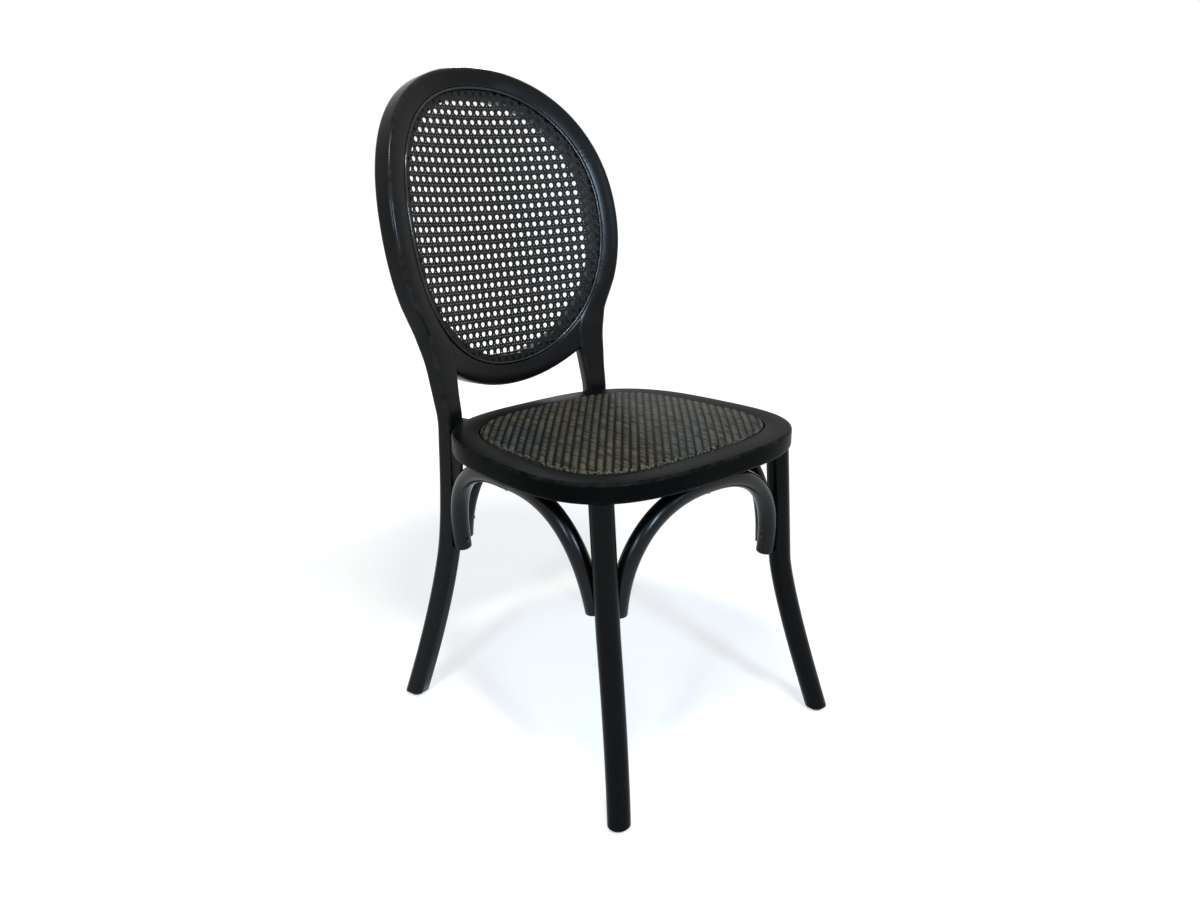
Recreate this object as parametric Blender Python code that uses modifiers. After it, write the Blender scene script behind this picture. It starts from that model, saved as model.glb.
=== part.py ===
"""Dining chair: bentwood hoop back with a cane panel, arched braces and a woven seat pad.

Metres, +Z up, the front of the seat towards -Y. The sizes in Y are measured from midway between the
front and rear feet, and the whole chair is then moved so that the origin is on the floor under the
middle of its box.
"""
import math

import bmesh
import bpy
from mathutils import Vector

# Clearance between pieces that touch, and the reach of cutters past what they cut
FIT_GAP = 0.0003
TIP_GAP = 0.0006
HOLE_CLEARANCE = 0.0005
SCREW_HEAD_GAP = 0.0004
CUT_PAST = 0.002
REBATE_REACH = 0.060
LEG_CUTTER_REACH = 0.020

# Middle of the chair's box, front to back
BOX_MIDDLE_Y = 0.0499

# The sitter's left is +X
SIDES = ((1, "left"), (-1, "right"))

# Seat frame
SEAT_TOP = 0.465
SEAT_FRAME_THICKNESS = 0.029
SEAT_FRAME_FACE = 0.040
SEAT_LEDGE_WIDTH = 0.018
SEAT_LEDGE_DEPTH = 0.014
SEAT_HALF_DEPTH = 0.2127
SEAT_HALF_WIDTH_FRONT = 0.2525
SEAT_HALF_WIDTH_REAR = 0.2210
SEAT_CENTRE_Y = -0.0138
SEAT_CORNER_POWER = 3.05
SEAT_TOP_ROUND = 0.008
SEAT_BOTTOM_ROUND = 0.005
SEAT_INNER_ROUND = 0.0012
SEAT_OUTLINE_POINTS = 60

# Seat board and pad
SEAT_BOARD_THICKNESS = 0.006
SEAT_PAD_EDGE_HEIGHT = 0.0085
SEAT_PAD_CROWN = 0.011
SEAT_PAD_OUTLINE_POINTS = 20
BOARD_SCREW_COUNT = 4
BOARD_SCREW_BITE = 0.004

# Back surface, curved across and bowed up and down
BACK_MID_Y = 0.2656
BACK_MID_Z = 0.7546
BACK_RECLINE = math.radians(12.8)
BACK_CROSS_RADIUS = 0.504
BACK_BOW = 0.34

# Cane opening
LIP_HALF_WIDTH = 0.1945
LIP_HALF_HEIGHT = 0.2195
LIP_CENTRE_UP = -0.013
LIP_POWER = 2.12
LEDGE_WIDTH = 0.0165
REBATE_DEPTH = 0.005
CANE_THICKNESS = 0.0010
CANE_PITCH_ACROSS = 0.0250
CANE_PITCH_UP = 0.0265
CANE_STRAND_WIDTH = 0.0110
CANE_SPLINE_RADIUS = 0.0021
SPLINE_POINTS = 64

# Hoop and rear legs
HOOP_FACE_PROUD = 0.004
HOOP_RIM = 0.0325
HOOP_RIM_AT_TOP = 0.0308
HOOP_DEPTH = 0.032
HOOP_CORNER = 0.0065
HOOP_TURN = math.radians(15)
HOOP_OVAL_END = math.radians(128)
HOOP_STATIONS = 11
HOOP_TURN_REACH = 0.160
HEIGHT_AT_RAIL = 0.560
SHOULDER_RISE = 0.031
SHOULDER_OUT = 0.0085
SHOULDER_BACK = 0.0045
LEG_SHAPING_LENGTH = 0.165
POST_DEPTH = 0.025
POST_WIDTH_AT_RAIL = 0.0490
POST_WIDTH_AT_SEAT = 0.0375
POST_X_AT_RAIL = 0.1535
POST_Y_AT_RAIL = 0.2183
POST_X_AT_SEAT = 0.1520
POST_Y_AT_SEAT = 0.2003
REAR_LEG_SIZE = 0.0308
REAR_LEG_CORNER = 0.010
REAR_LEG_BEND_HEIGHT = 0.280
REAR_LEG_X_AT_BEND = 0.1610
REAR_LEG_Y_AT_BEND = 0.1998
REAR_FOOT_X = 0.2124
REAR_FOOT_Y = 0.2420

# Front legs
FRONT_LEG_FLARE_POWER = 1.4
REAR_LEG_FLARE_POWER = 1.6
REAR_LEG_BOW_POWER = 2.0
FRONT_LEG_BEND_HEIGHT = 0.255
FRONT_LEG_RADIUS_TOP = 0.0171
FRONT_LEG_RADIUS_FOOT = 0.0161
FRONT_LEG_X_AT_TOP = 0.1840
FRONT_LEG_Y_AT_TOP = -0.1690
FRONT_LEG_X_AT_BEND = 0.1850
FRONT_LEG_Y_AT_BEND = -0.1830
FRONT_FOOT_X = 0.2217
FRONT_FOOT_Y = -0.2420
TENON_RADIUS = 0.010
TENON_LENGTH = 0.015
TENON_ROOT = 0.010

# Lower back rail
RAIL_FACE = 0.0315
RAIL_EDGE_RADIUS = 0.278
RAIL_CORNER = 0.0065
RAIL_REACH = 0.140
RAIL_STATIONS = 17
RAIL_INNER_DRAW = 0.0021
RAIL_OUTER_SPLAY = 0.0042
DOWEL_RADIUS = 0.004
DOWEL_LENGTH = 0.036
DOWEL_DEPTH = 0.0176
DOWEL_HEIGHTS = (-0.186, -0.216)

# Arched braces
ARCH_RADIUS = 0.0138
ARCH_COPE = 0.003
FRONT_ARCH_END_HEIGHT = 0.269
FRONT_ARCH_POWER = 2.4
FRONT_ARCH_SPRING_HEIGHT = 0.269
FRONT_ARCH_BEARING = math.radians(17)
FRONT_ARCH_LEAN = 0.118
REAR_ARCH_END_HEIGHT = 0.271
REAR_ARCH_BEARING = math.radians(7)
REAR_ARCH_LEAN = -0.080
SIDE_ARCH_FRONT_END_HEIGHT = 0.273
SIDE_ARCH_REAR_END_HEIGHT = 0.263
SIDE_ARCH_POWER = 2.75
SIDE_ARCH_SPRING_HEIGHT = 0.215
SIDE_ARCH_FRONT_BEARING = math.radians(82)
SIDE_ARCH_REAR_BEARING = math.radians(73)
SIDE_ARCH_LEAN = 0.160
ARCH_STATIONS = 24

# Fasteners and feet
SCREW_RADIUS = 0.002
SCREW_HEAD_RADIUS = 0.004
SCREW_HEAD_HEIGHT = 0.0015
LEG_SCREW_BITE = 0.013
LEG_SCREW_RISE = 0.016
SCREW_CLEARANCE_ABOVE = 0.012
SEAT_SCREW_BITE = 0.012
BOLT_RADIUS = 0.003
BOLT_HEAD_RADIUS = 0.0075
BOLT_HEAD_HEIGHT = 0.004
BOLT_HEAD_CLEARANCE = 0.001
BOLT_SEAT_DEPTH = 0.0008
BOLT_BITE = 0.028
EAR_WIDTH = 0.030
EAR_SET_IN = 0.006
EAR_DROP = 0.0005
EAR_CORNER = 0.006
GLIDE_RADIUS = 0.0105
GLIDE_HEIGHT = 0.004
GLIDE_EDGE = 0.001
GLIDE_PIN_RADIUS = 0.0025
GLIDE_PIN_LENGTH = 0.012

SEAT_FRAME_BOTTOM = SEAT_TOP - SEAT_FRAME_THICKNESS
SEAT_LEDGE_TOP = SEAT_TOP - SEAT_LEDGE_DEPTH
SEAT_BOARD_BOTTOM = SEAT_LEDGE_TOP + FIT_GAP
SEAT_BOARD_TOP = SEAT_BOARD_BOTTOM + SEAT_BOARD_THICKNESS
ARCH_APEX = SEAT_FRAME_BOTTOM - FIT_GAP - ARCH_RADIUS
HOOP_WIDTH = HOOP_RIM + LEDGE_WIDTH
TOP_WIDTH = HOOP_RIM_AT_TOP + LEDGE_WIDTH


def clear_scene():
    for item in list(bpy.data.objects):
        bpy.data.objects.remove(item, do_unlink=True)


def new_collection(name):
    group = bpy.data.collections.new(name)
    bpy.context.scene.collection.children.link(group)
    return group


def make_material(name, colour, roughness, metallic=0.0):
    material = bpy.data.materials.new(name)
    material.use_nodes = True
    shader = material.node_tree.nodes["Principled BSDF"]
    shader.inputs["Base Color"].default_value = (*colour, 1.0)
    shader.inputs["Roughness"].default_value = roughness
    shader.inputs["Metallic"].default_value = metallic
    material.diffuse_color = (*colour, 1.0)
    return material


def place(mesh, name, group, material=None):
    """Link a mesh as a named object of a collection."""
    item = bpy.data.objects.new(name, mesh)
    group.objects.link(item)
    if material:
        mesh.materials.clear()
        mesh.materials.append(material)
    else:
        item.hide_render = True
        item.display_type = 'WIRE'
    return item


def shade(mesh, angle=40):
    mesh.shade_smooth()
    mesh.set_sharp_from_angle(angle=math.radians(angle))


def finish_mesh(work, name):
    """Turn a bmesh into a mesh whose faces point out."""
    bmesh.ops.recalc_face_normals(work, faces=work.faces)
    mesh = bpy.data.meshes.new(name)
    work.to_mesh(mesh)
    work.free()
    return mesh


def signed_power(value, power):
    return math.copysign(abs(value) ** power, value)


def smooth_step(value):
    value = min(max(value, 0.0), 1.0)
    return value * value * (3 - 2 * value)


def blend(low, high, share):
    return low + (high - low) * share


def loft(name, sections, first_cap=True, last_cap=True):
    """A skin through rings of points that all have the same count."""
    work = bmesh.new()
    rings = [[work.verts.new(point) for point in ring] for ring in sections]
    count = len(rings[0])
    for low, high in zip(rings, rings[1:]):
        for k in range(count):
            work.faces.new((low[k], low[(k + 1) % count], high[(k + 1) % count], high[k]))
    if first_cap:
        work.faces.new(rings[0])
    if last_cap:
        work.faces.new(rings[-1])
    return finish_mesh(work, name)


def ring_loft(name, sections):
    """A skin through rings of points that closes on itself."""
    work = bmesh.new()
    rings = [[work.verts.new(point) for point in ring] for ring in sections]
    count = len(rings[0])
    for index, low in enumerate(rings):
        high = rings[(index + 1) % len(rings)]
        for k in range(count):
            work.faces.new((low[k], low[(k + 1) % count], high[(k + 1) % count], high[k]))
    return finish_mesh(work, name)


def curve_tube(name, points, radius, cyclic=False, resolution=4):
    """A round rod along a path, as a mesh."""
    curve = bpy.data.curves.new(name, 'CURVE')
    curve.dimensions = '3D'
    curve.bevel_depth = radius
    curve.bevel_resolution = resolution
    curve.use_fill_caps = True
    spline = curve.splines.new('POLY')
    spline.points.add(len(points) - 1)
    for point, place_at in zip(spline.points, points):
        point.co = (*place_at, 1.0)
    spline.use_cyclic_u = cyclic
    item = bpy.data.objects.new(name, curve)
    bpy.context.scene.collection.objects.link(item)
    graph = bpy.context.evaluated_depsgraph_get()
    mesh = bpy.data.meshes.new_from_object(item.evaluated_get(graph))
    work = bmesh.new()
    work.from_mesh(mesh)
    bmesh.ops.remove_doubles(work, verts=work.verts, dist=0.000001)
    bpy.data.objects.remove(item, do_unlink=True)
    bpy.data.meshes.remove(mesh)
    return finish_mesh(work, name)


def rod(name, start, end, radius, sides=16):
    """A cylinder between two points."""
    start = Vector(start)
    end = Vector(end)
    axis = end - start
    work = bmesh.new()
    bmesh.ops.create_cone(work, cap_ends=True, segments=sides,
                          radius1=radius, radius2=radius, depth=axis.length)
    turn = axis.to_track_quat('Z', 'Y').to_matrix().to_4x4()
    bmesh.ops.transform(work, matrix=turn, verts=work.verts)
    bmesh.ops.translate(work, vec=(start + end) / 2, verts=work.verts)
    return finish_mesh(work, name)


def joined(name, meshes):
    """Several separate solids in one mesh."""
    work = bmesh.new()
    for mesh in meshes:
        work.from_mesh(mesh)
        bpy.data.meshes.remove(mesh)
    mesh = bpy.data.meshes.new(name)
    work.to_mesh(mesh)
    work.free()
    return mesh


def boolean(item, cutter, operation='DIFFERENCE'):
    modifier = item.modifiers.new(cutter.name, 'BOOLEAN')
    modifier.operation = operation
    modifier.solver = 'EXACT'
    modifier.object = cutter


def turned(name, profile, base, axis, sides=16):
    """A turned piece from (radius, height) pairs, standing on base along an axis."""
    axis = Vector(axis).normalized()
    side = axis.orthogonal().normalized()
    other = axis.cross(side)
    sections = []
    for radius, height in profile:
        centre = Vector(base) + axis * height
        sections.append([centre + (side * math.cos(a) + other * math.sin(a)) * radius
                         for a in (2 * math.pi * k / sides for k in range(sides))])
    return loft(name, sections)


def seat_point(angle, inset=0.0):
    """A point of the seat's plan outline, moved in square to it."""
    def raw(at):
        along = signed_power(math.sin(at), 2 / SEAT_CORNER_POWER)
        half = blend(SEAT_HALF_WIDTH_FRONT, SEAT_HALF_WIDTH_REAR, (along + 1) / 2)
        return Vector((half * signed_power(math.cos(at), 2 / SEAT_CORNER_POWER),
                       SEAT_CENTRE_Y + SEAT_HALF_DEPTH * along))
    step = 0.002
    forward = raw(angle + step) - raw(angle - step)
    normal = Vector((forward.y, -forward.x)).normalized()
    return raw(angle) - normal * inset


def seat_angle_points(count):
    """Outline angles at even spacing along the seat's edge."""
    fine = [seat_point(2 * math.pi * k / 720) for k in range(721)]
    lengths = [0.0]
    for low, high in zip(fine, fine[1:]):
        lengths.append(lengths[-1] + (high - low).length)
    angles = []
    at = 0
    for k in range(count):
        target = lengths[-1] * k / count
        while lengths[at + 1] < target:
            at += 1
        share = (target - lengths[at]) / (lengths[at + 1] - lengths[at])
        angles.append(2 * math.pi * (at + share) / 720)
    return angles


def seat_frame_profile():
    """Section of the seat frame as (inset, height) pairs."""
    profile = []
    for k in range(3):
        angle = math.pi / 2 * k / 2
        profile.append((SEAT_TOP_ROUND * (1 - math.cos(angle)),
                        SEAT_TOP - SEAT_TOP_ROUND * (1 - math.sin(angle))))
    profile.append((SEAT_FRAME_FACE - SEAT_INNER_ROUND, SEAT_TOP))
    profile.append((SEAT_FRAME_FACE, SEAT_TOP - SEAT_INNER_ROUND))
    profile.append((SEAT_FRAME_FACE, SEAT_LEDGE_TOP))
    profile.append((SEAT_FRAME_FACE + SEAT_LEDGE_WIDTH, SEAT_LEDGE_TOP))
    profile.append((SEAT_FRAME_FACE + SEAT_LEDGE_WIDTH, SEAT_FRAME_BOTTOM))
    for k in range(3):
        angle = math.pi / 2 * k / 2
        profile.append((SEAT_BOTTOM_ROUND * (1 - math.sin(angle)),
                        SEAT_FRAME_BOTTOM + SEAT_BOTTOM_ROUND * (1 - math.cos(angle))))
    return profile


def seat_frame_mesh():
    profile = seat_frame_profile()
    sections = []
    for angle in seat_angle_points(SEAT_OUTLINE_POINTS):
        sections.append([(*seat_point(angle, inset), height) for inset, height in profile])
    return ring_loft("seat_frame", sections)


def seat_board_mesh():
    edge = SEAT_FRAME_FACE + 2 * FIT_GAP
    outline = [seat_point(angle, edge) for angle in seat_angle_points(SEAT_OUTLINE_POINTS)]
    low = [(*point, SEAT_BOARD_BOTTOM) for point in outline]
    high = [(*point, SEAT_BOARD_TOP) for point in outline]
    return loft("seat_board", [low, high])


def seat_pad_mesh():
    """Crowned pad as a coarse cage for a subdivision surface."""
    angles = seat_angle_points(SEAT_PAD_OUTLINE_POINTS)
    edge = SEAT_FRAME_FACE + 3 * FIT_GAP
    base = SEAT_BOARD_TOP + FIT_GAP
    centre = Vector((0.0, SEAT_CENTRE_Y))
    levels = ((0.55, 0.0, 0.0), (0.97, 0.0, 0.0), (1.0, 0.0003, 0.15), (1.0, 0.0, 0.72), (0.985, 0.0, 1.0))
    sections = []
    for share, push, rise in levels:
        ring = []
        for angle in angles:
            point = centre + (seat_point(angle, edge) - centre) * share
            ring.append((*point, base + SEAT_PAD_EDGE_HEIGHT * rise))
        sections.append(ring)
    for share in (0.90, 0.72, 0.48, 0.22):
        rise = SEAT_PAD_CROWN * (1 - share ** 2.4)
        ring = []
        for angle in angles:
            point = centre + (seat_point(angle, edge) - centre) * share
            ring.append((*point, base + SEAT_PAD_EDGE_HEIGHT + rise))
        sections.append(ring)
    return loft("seat_pad", sections)


def back_point(across, up, proud=0.0):
    """A point of the cane's surface, or in front of it by a distance."""
    turn = across / BACK_CROSS_RADIUS
    forward = BACK_CROSS_RADIUS * (1 - math.cos(turn)) - BACK_BOW * up * up + proud
    return Vector((BACK_CROSS_RADIUS * math.sin(turn),
                   BACK_MID_Y + up * math.sin(BACK_RECLINE) - forward * math.cos(BACK_RECLINE),
                   BACK_MID_Z + up * math.cos(BACK_RECLINE) + forward * math.sin(BACK_RECLINE)))


def lip_point(angle, offset=0.0):
    """A point (across, up) of the opening's oval, angle 0 at the top, moved out square to it."""
    def raw(at):
        return Vector((LIP_HALF_WIDTH * signed_power(math.sin(at), 2 / LIP_POWER),
                       LIP_CENTRE_UP + LIP_HALF_HEIGHT * signed_power(math.cos(at), 2 / LIP_POWER)))
    step = 0.004
    forward = raw(angle + step) - raw(angle - step)
    normal = Vector((-forward.y, forward.x)).normalized()
    return raw(angle) + normal * offset


def oval_slab(name, offset, rear, front, rings=8, count=64):
    """A closed sheet inside the oval, between two levels of the back's surface."""
    work = bmesh.new()
    layers = []
    for proud in (rear, front):
        centre = work.verts.new(back_point(0.0, LIP_CENTRE_UP, proud))
        layer = []
        for ring in range(1, rings + 1):
            share = ring / rings
            row = []
            for k in range(count):
                point = lip_point(2 * math.pi * k / count, offset)
                up = LIP_CENTRE_UP + (point.y - LIP_CENTRE_UP) * share
                row.append(work.verts.new(back_point(point.x * share, up, proud)))
            layer.append(row)
        layers.append((centre, layer))
        for k in range(count):
            work.faces.new((centre, layer[0][k], layer[0][(k + 1) % count]))
        for low, high in zip(layer, layer[1:]):
            for k in range(count):
                work.faces.new((low[k], high[k], high[(k + 1) % count], low[(k + 1) % count]))
    for k in range(count):
        low = layers[0][1][-1]
        high = layers[1][1][-1]
        work.faces.new((low[k], low[(k + 1) % count], high[(k + 1) % count], high[k]))
    return finish_mesh(work, name)


def cane_net_mesh():
    """Square net of strands wider than the oval, to be trimmed to it."""
    across = grid_lines(CANE_PITCH_ACROSS, LIP_HALF_WIDTH, 0.0)
    up = grid_lines(CANE_PITCH_UP, LIP_HALF_HEIGHT, LIP_CENTRE_UP)
    work = bmesh.new()
    half = CANE_THICKNESS / 2
    layers = []
    for proud in (-half, half):
        layers.append([[work.verts.new(back_point(u, v, proud)) for u in across] for v in up])
    open_cells = {(row, column)
                  for row in range(1, len(up) - 1, 2)
                  for column in range(1, len(across) - 1, 2)}
    last_row = len(up) - 2
    last_column = len(across) - 2
    for row in range(len(up) - 1):
        for column in range(len(across) - 1):
            if (row, column) in open_cells:
                continue
            for layer in layers:
                work.faces.new((layer[row][column], layer[row][column + 1],
                                layer[row + 1][column + 1], layer[row + 1][column]))
            sides = ((row - 1, column, (row, column), (row, column + 1)),
                     (row + 1, column, (row + 1, column), (row + 1, column + 1)),
                     (row, column - 1, (row, column), (row + 1, column)),
                     (row, column + 1, (row, column + 1), (row + 1, column + 1)))
            for next_row, next_column, one, two in sides:
                outside = not (0 <= next_row <= last_row and 0 <= next_column <= last_column)
                if outside or (next_row, next_column) in open_cells:
                    work.faces.new((layers[0][one[0]][one[1]], layers[0][two[0]][two[1]],
                                    layers[1][two[0]][two[1]], layers[1][one[0]][one[1]]))
    return finish_mesh(work, "cane_panel")


def grid_lines(pitch, reach, middle):
    """Edges of strands and gaps, from strand to strand across a reach either side of a middle."""
    count = math.ceil((reach + pitch) / pitch)
    lines = []
    for k in range(-count, count + 1):
        lines.append(middle + k * pitch - CANE_STRAND_WIDTH / 2)
        lines.append(middle + k * pitch + CANE_STRAND_WIDTH / 2)
    return lines


def rounded_section(centre, outward, rearward, width, depth, radius, grow):
    """Twelve points of a rectangle with rounded corners."""
    half_width = width / 2 + grow
    half_depth = depth / 2 + grow
    corner = radius + grow
    points = []
    for quarter in range(4):
        sign_out = (1, -1, -1, 1)[quarter]
        sign_rear = (1, 1, -1, -1)[quarter]
        for k in range(3):
            angle = math.pi / 2 * (quarter + k / 2)
            points.append(centre
                          + outward * (sign_out * (half_width - corner) + math.cos(angle) * corner)
                          + rearward * (sign_rear * (half_depth - corner) + math.sin(angle) * corner))
    return points


def through(stations, steps):
    """Points of a smooth curve through stations of any number of values."""
    result = []
    last = len(stations) - 1
    for k in range(last):
        p0 = stations[max(k - 1, 0)]
        p1 = stations[k]
        p2 = stations[k + 1]
        p3 = stations[min(k + 2, last)]
        for step in range(steps):
            t = step / steps
            result.append(tuple(
                0.5 * (2 * b + (c - a) * t + (2 * a - 5 * b + 4 * c - d) * t ** 2
                       + (3 * b - a - 3 * c + d) * t ** 3)
                for a, b, c, d in zip(p0, p1, p2, p3)))
    result.append(tuple(stations[last]))
    return result


def flared(top, bend, foot, height, top_height, bend_height, flare, bow=1.0):
    """Plan position of a leg at a height: down to its bend, then swept out to its foot."""
    if height >= bend_height:
        share = (top_height - height) / (top_height - bend_height)
        return top + (bend - top) * signed_power(share, bow)
    slope = bow * (bend - top) / (top_height - bend_height)
    share = (bend_height - height) / (bend_height - GLIDE_HEIGHT)
    return bend + slope * (bend_height - height) * (1 - share) + (foot - bend) * share ** flare


def front_leg_place(height):
    return Vector((flared(FRONT_LEG_X_AT_TOP, FRONT_LEG_X_AT_BEND, FRONT_FOOT_X, height,
                          SEAT_FRAME_BOTTOM, FRONT_LEG_BEND_HEIGHT, FRONT_LEG_FLARE_POWER),
                   flared(FRONT_LEG_Y_AT_TOP, FRONT_LEG_Y_AT_BEND, FRONT_FOOT_Y, height,
                          SEAT_FRAME_BOTTOM, FRONT_LEG_BEND_HEIGHT, FRONT_LEG_FLARE_POWER),
                   height))


def front_leg_radius(height):
    share = (height - GLIDE_HEIGHT) / (SEAT_FRAME_BOTTOM - GLIDE_HEIGHT)
    return blend(FRONT_LEG_RADIUS_FOOT, FRONT_LEG_RADIUS_TOP, share)


def rear_leg_place(height):
    return Vector((flared(POST_X_AT_SEAT, REAR_LEG_X_AT_BEND, REAR_FOOT_X, height, SEAT_TOP,
                          REAR_LEG_BEND_HEIGHT, REAR_LEG_FLARE_POWER, REAR_LEG_BOW_POWER),
                   flared(POST_Y_AT_SEAT, REAR_LEG_Y_AT_BEND, REAR_FOOT_Y, height, SEAT_TOP,
                          REAR_LEG_BEND_HEIGHT, REAR_LEG_FLARE_POWER, REAR_LEG_BOW_POWER),
                   height))


def flatten_end(ring, along, height):
    """Slide a ring's points along a direction until they lie at a height."""
    return [point + along * ((height - point.z) / along.z) for point in ring]


def front_leg_mesh(name, side, grow=0.0):
    heights = [SEAT_FRAME_BOTTOM - FIT_GAP]
    heights += [blend(SEAT_FRAME_BOTTOM, FRONT_LEG_BEND_HEIGHT, k / 3) for k in range(1, 3)]
    heights += [blend(FRONT_LEG_BEND_HEIGHT, GLIDE_HEIGHT, k / 9) for k in range(10)]
    if grow:
        heights[0] += LEG_CUTTER_REACH
        heights[-1] -= LEG_CUTTER_REACH
    places = [front_leg_place(height) for height in heights]
    sections = []
    for k, centre in enumerate(places):
        ahead = (places[min(k + 1, len(places) - 1)] - places[max(k - 1, 0)]).normalized()
        across = Vector((1, 0, 0))
        across = (across - ahead * across.dot(ahead)).normalized()
        other = ahead.cross(across)
        ring = [centre + (across * math.cos(a) + other * math.sin(a)) * (front_leg_radius(centre.z) + grow)
                for a in (2 * math.pi * n / 16 for n in range(16))]
        if k in (0, len(places) - 1):
            ring = flatten_end(ring, ahead, centre.z)
        sections.append([Vector((side * point.x, point.y, point.z)) for point in ring])
    return loft(name, sections)


def hoop_stations():
    """Stations from the top of the hoop down one side to the foot: place, width, depth, turn, corner."""
    stations = []
    for k in range(HOOP_STATIONS + 1):
        angle = HOOP_OVAL_END * k / HOOP_STATIONS
        edge = lip_point(angle)
        edge.x = max(edge.x, 0.0)
        turn = HOOP_TURN * smooth_step(edge.x / HOOP_TURN_REACH)
        width = blend(TOP_WIDTH, HOOP_WIDTH, smooth_step(edge.x / HOOP_TURN_REACH))
        ahead = back_point(*lip_point(angle + 0.01)) - back_point(*lip_point(angle - 0.01))
        outward, rearward = hoop_axes(ahead.normalized(), turn)
        face = back_point(edge.x, edge.y, HOOP_FACE_PROUD)
        centre = face + outward * (width / 2 - LEDGE_WIDTH) + rearward * (HOOP_DEPTH / 2)
        stations.append((*centre, width, HOOP_DEPTH, turn, HOOP_CORNER))
    stations.append((POST_X_AT_RAIL + SHOULDER_OUT, POST_Y_AT_RAIL + SHOULDER_BACK,
                     HEIGHT_AT_RAIL + SHOULDER_RISE, HOOP_WIDTH,
                     blend(HOOP_DEPTH, POST_DEPTH, 0.3), HOOP_TURN, HOOP_CORNER))
    stations.append((POST_X_AT_RAIL, POST_Y_AT_RAIL, HEIGHT_AT_RAIL, POST_WIDTH_AT_RAIL,
                     blend(HOOP_DEPTH, POST_DEPTH, 0.6), HOOP_TURN, HOOP_CORNER))
    for share in (0.33, 0.66, 1.0):
        stations.append((blend(POST_X_AT_RAIL, POST_X_AT_SEAT, share),
                         blend(POST_Y_AT_RAIL, POST_Y_AT_SEAT, share),
                         blend(HEIGHT_AT_RAIL, SEAT_TOP, share),
                         blend(POST_WIDTH_AT_RAIL, POST_WIDTH_AT_SEAT, smooth_step(share)),
                         POST_DEPTH, HOOP_TURN, HOOP_CORNER))
    for share in (0.25, 0.5, 0.75, 1.0):
        spot = rear_leg_place(SEAT_TOP - LEG_SHAPING_LENGTH * share)
        change = smooth_step(share)
        stations.append((*spot, blend(POST_WIDTH_AT_SEAT, REAR_LEG_SIZE, change),
                         blend(POST_DEPTH, REAR_LEG_SIZE, change),
                         HOOP_TURN, blend(HOOP_CORNER, REAR_LEG_CORNER, change)))
    low = SEAT_TOP - LEG_SHAPING_LENGTH
    heights = [blend(low, GLIDE_HEIGHT, k / 7) for k in range(1, 8)]
    for height in heights:
        stations.append((*rear_leg_place(height), REAR_LEG_SIZE, REAR_LEG_SIZE, HOOP_TURN, REAR_LEG_CORNER))
    return stations


def hoop_axes(ahead, turn):
    """The outward and rearward directions of the hoop's section."""
    rearward = Vector((math.sin(turn), math.cos(turn) * math.cos(BACK_RECLINE),
                       -math.cos(turn) * math.sin(BACK_RECLINE)))
    rearward = (rearward - ahead * rearward.dot(ahead)).normalized()
    return ahead.cross(rearward).normalized(), rearward


def hoop_half_mesh(name, grow=0.0):
    stations = hoop_stations()
    shaped = HOOP_STATIONS + 5
    path = through(stations[:shaped + 1], 2)[:-2] + stations[shaped:]
    sections = []
    for k, values in enumerate(path):
        centre = Vector(values[:3])
        ahead = (Vector(path[min(k + 1, len(path) - 1)][:3]) - Vector(path[max(k - 1, 0)][:3])).normalized()
        if k == 0:
            ahead = Vector((1, 0, 0))
        width, depth, turn, corner = values[3:]
        outward, rearward = hoop_axes(ahead, turn)
        ring = rounded_section(centre, outward, rearward, width, depth, corner, grow)
        if k == 0:
            for point in ring:
                point.x = 0.0
        if k == len(path) - 1:
            ring = flatten_end(ring, ahead, GLIDE_HEIGHT - (LEG_CUTTER_REACH if grow else 0.0))
        sections.append(ring)
    return loft(name, sections, first_cap=False)


def mirror_across(item):
    modifier = item.modifiers.new("mirror", 'MIRROR')
    modifier.use_axis[0] = True
    modifier.merge_threshold = 0.0001
    modifier.use_clip = True


def rail_edge(across):
    """Height of the rail's lower edge at a place across the back."""
    low = LIP_CENTRE_UP - LIP_HALF_HEIGHT - RAIL_FACE
    return low + RAIL_EDGE_RADIUS - math.sqrt(RAIL_EDGE_RADIUS ** 2 - across ** 2)


def rail_mesh():
    sections = []
    for k in range(RAIL_STATIONS):
        share = -1 + 2 * k / (RAIL_STATIONS - 1)
        across = RAIL_REACH * share
        inner_half = LIP_HALF_WIDTH - LEDGE_WIDTH
        inner_height = LIP_HALF_HEIGHT - LEDGE_WIDTH
        inner_across = across - RAIL_INNER_DRAW * share
        sag = (1 - abs(inner_across / inner_half) ** LIP_POWER) ** (1 / LIP_POWER)
        inner = Vector((inner_across, LIP_CENTRE_UP - inner_height * sag))
        outer_across = across + RAIL_OUTER_SPLAY * share
        outer = Vector((outer_across, rail_edge(outer_across)))
        middle = (inner + outer) / 2
        width = (outer - inner).length
        level = HOOP_FACE_PROUD - HOOP_DEPTH / 2
        centre = back_point(middle.x, middle.y, level)
        low = back_point(outer.x, outer.y, level)
        outward = (low - back_point(inner.x, inner.y, level)).normalized()
        turn = HOOP_TURN * smooth_step(abs(middle.x) / HOOP_TURN_REACH) * (1 if middle.x > 0 else -1)
        rearward = Vector((math.sin(turn), math.cos(turn) * math.cos(BACK_RECLINE),
                           -math.cos(turn) * math.sin(BACK_RECLINE)))
        rearward = (rearward - outward * rearward.dot(outward)).normalized()
        sections.append(rounded_section(centre, outward, rearward, width, HOOP_DEPTH, RAIL_CORNER, 0.0))
    return loft("back_lower_rail", sections)


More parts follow.
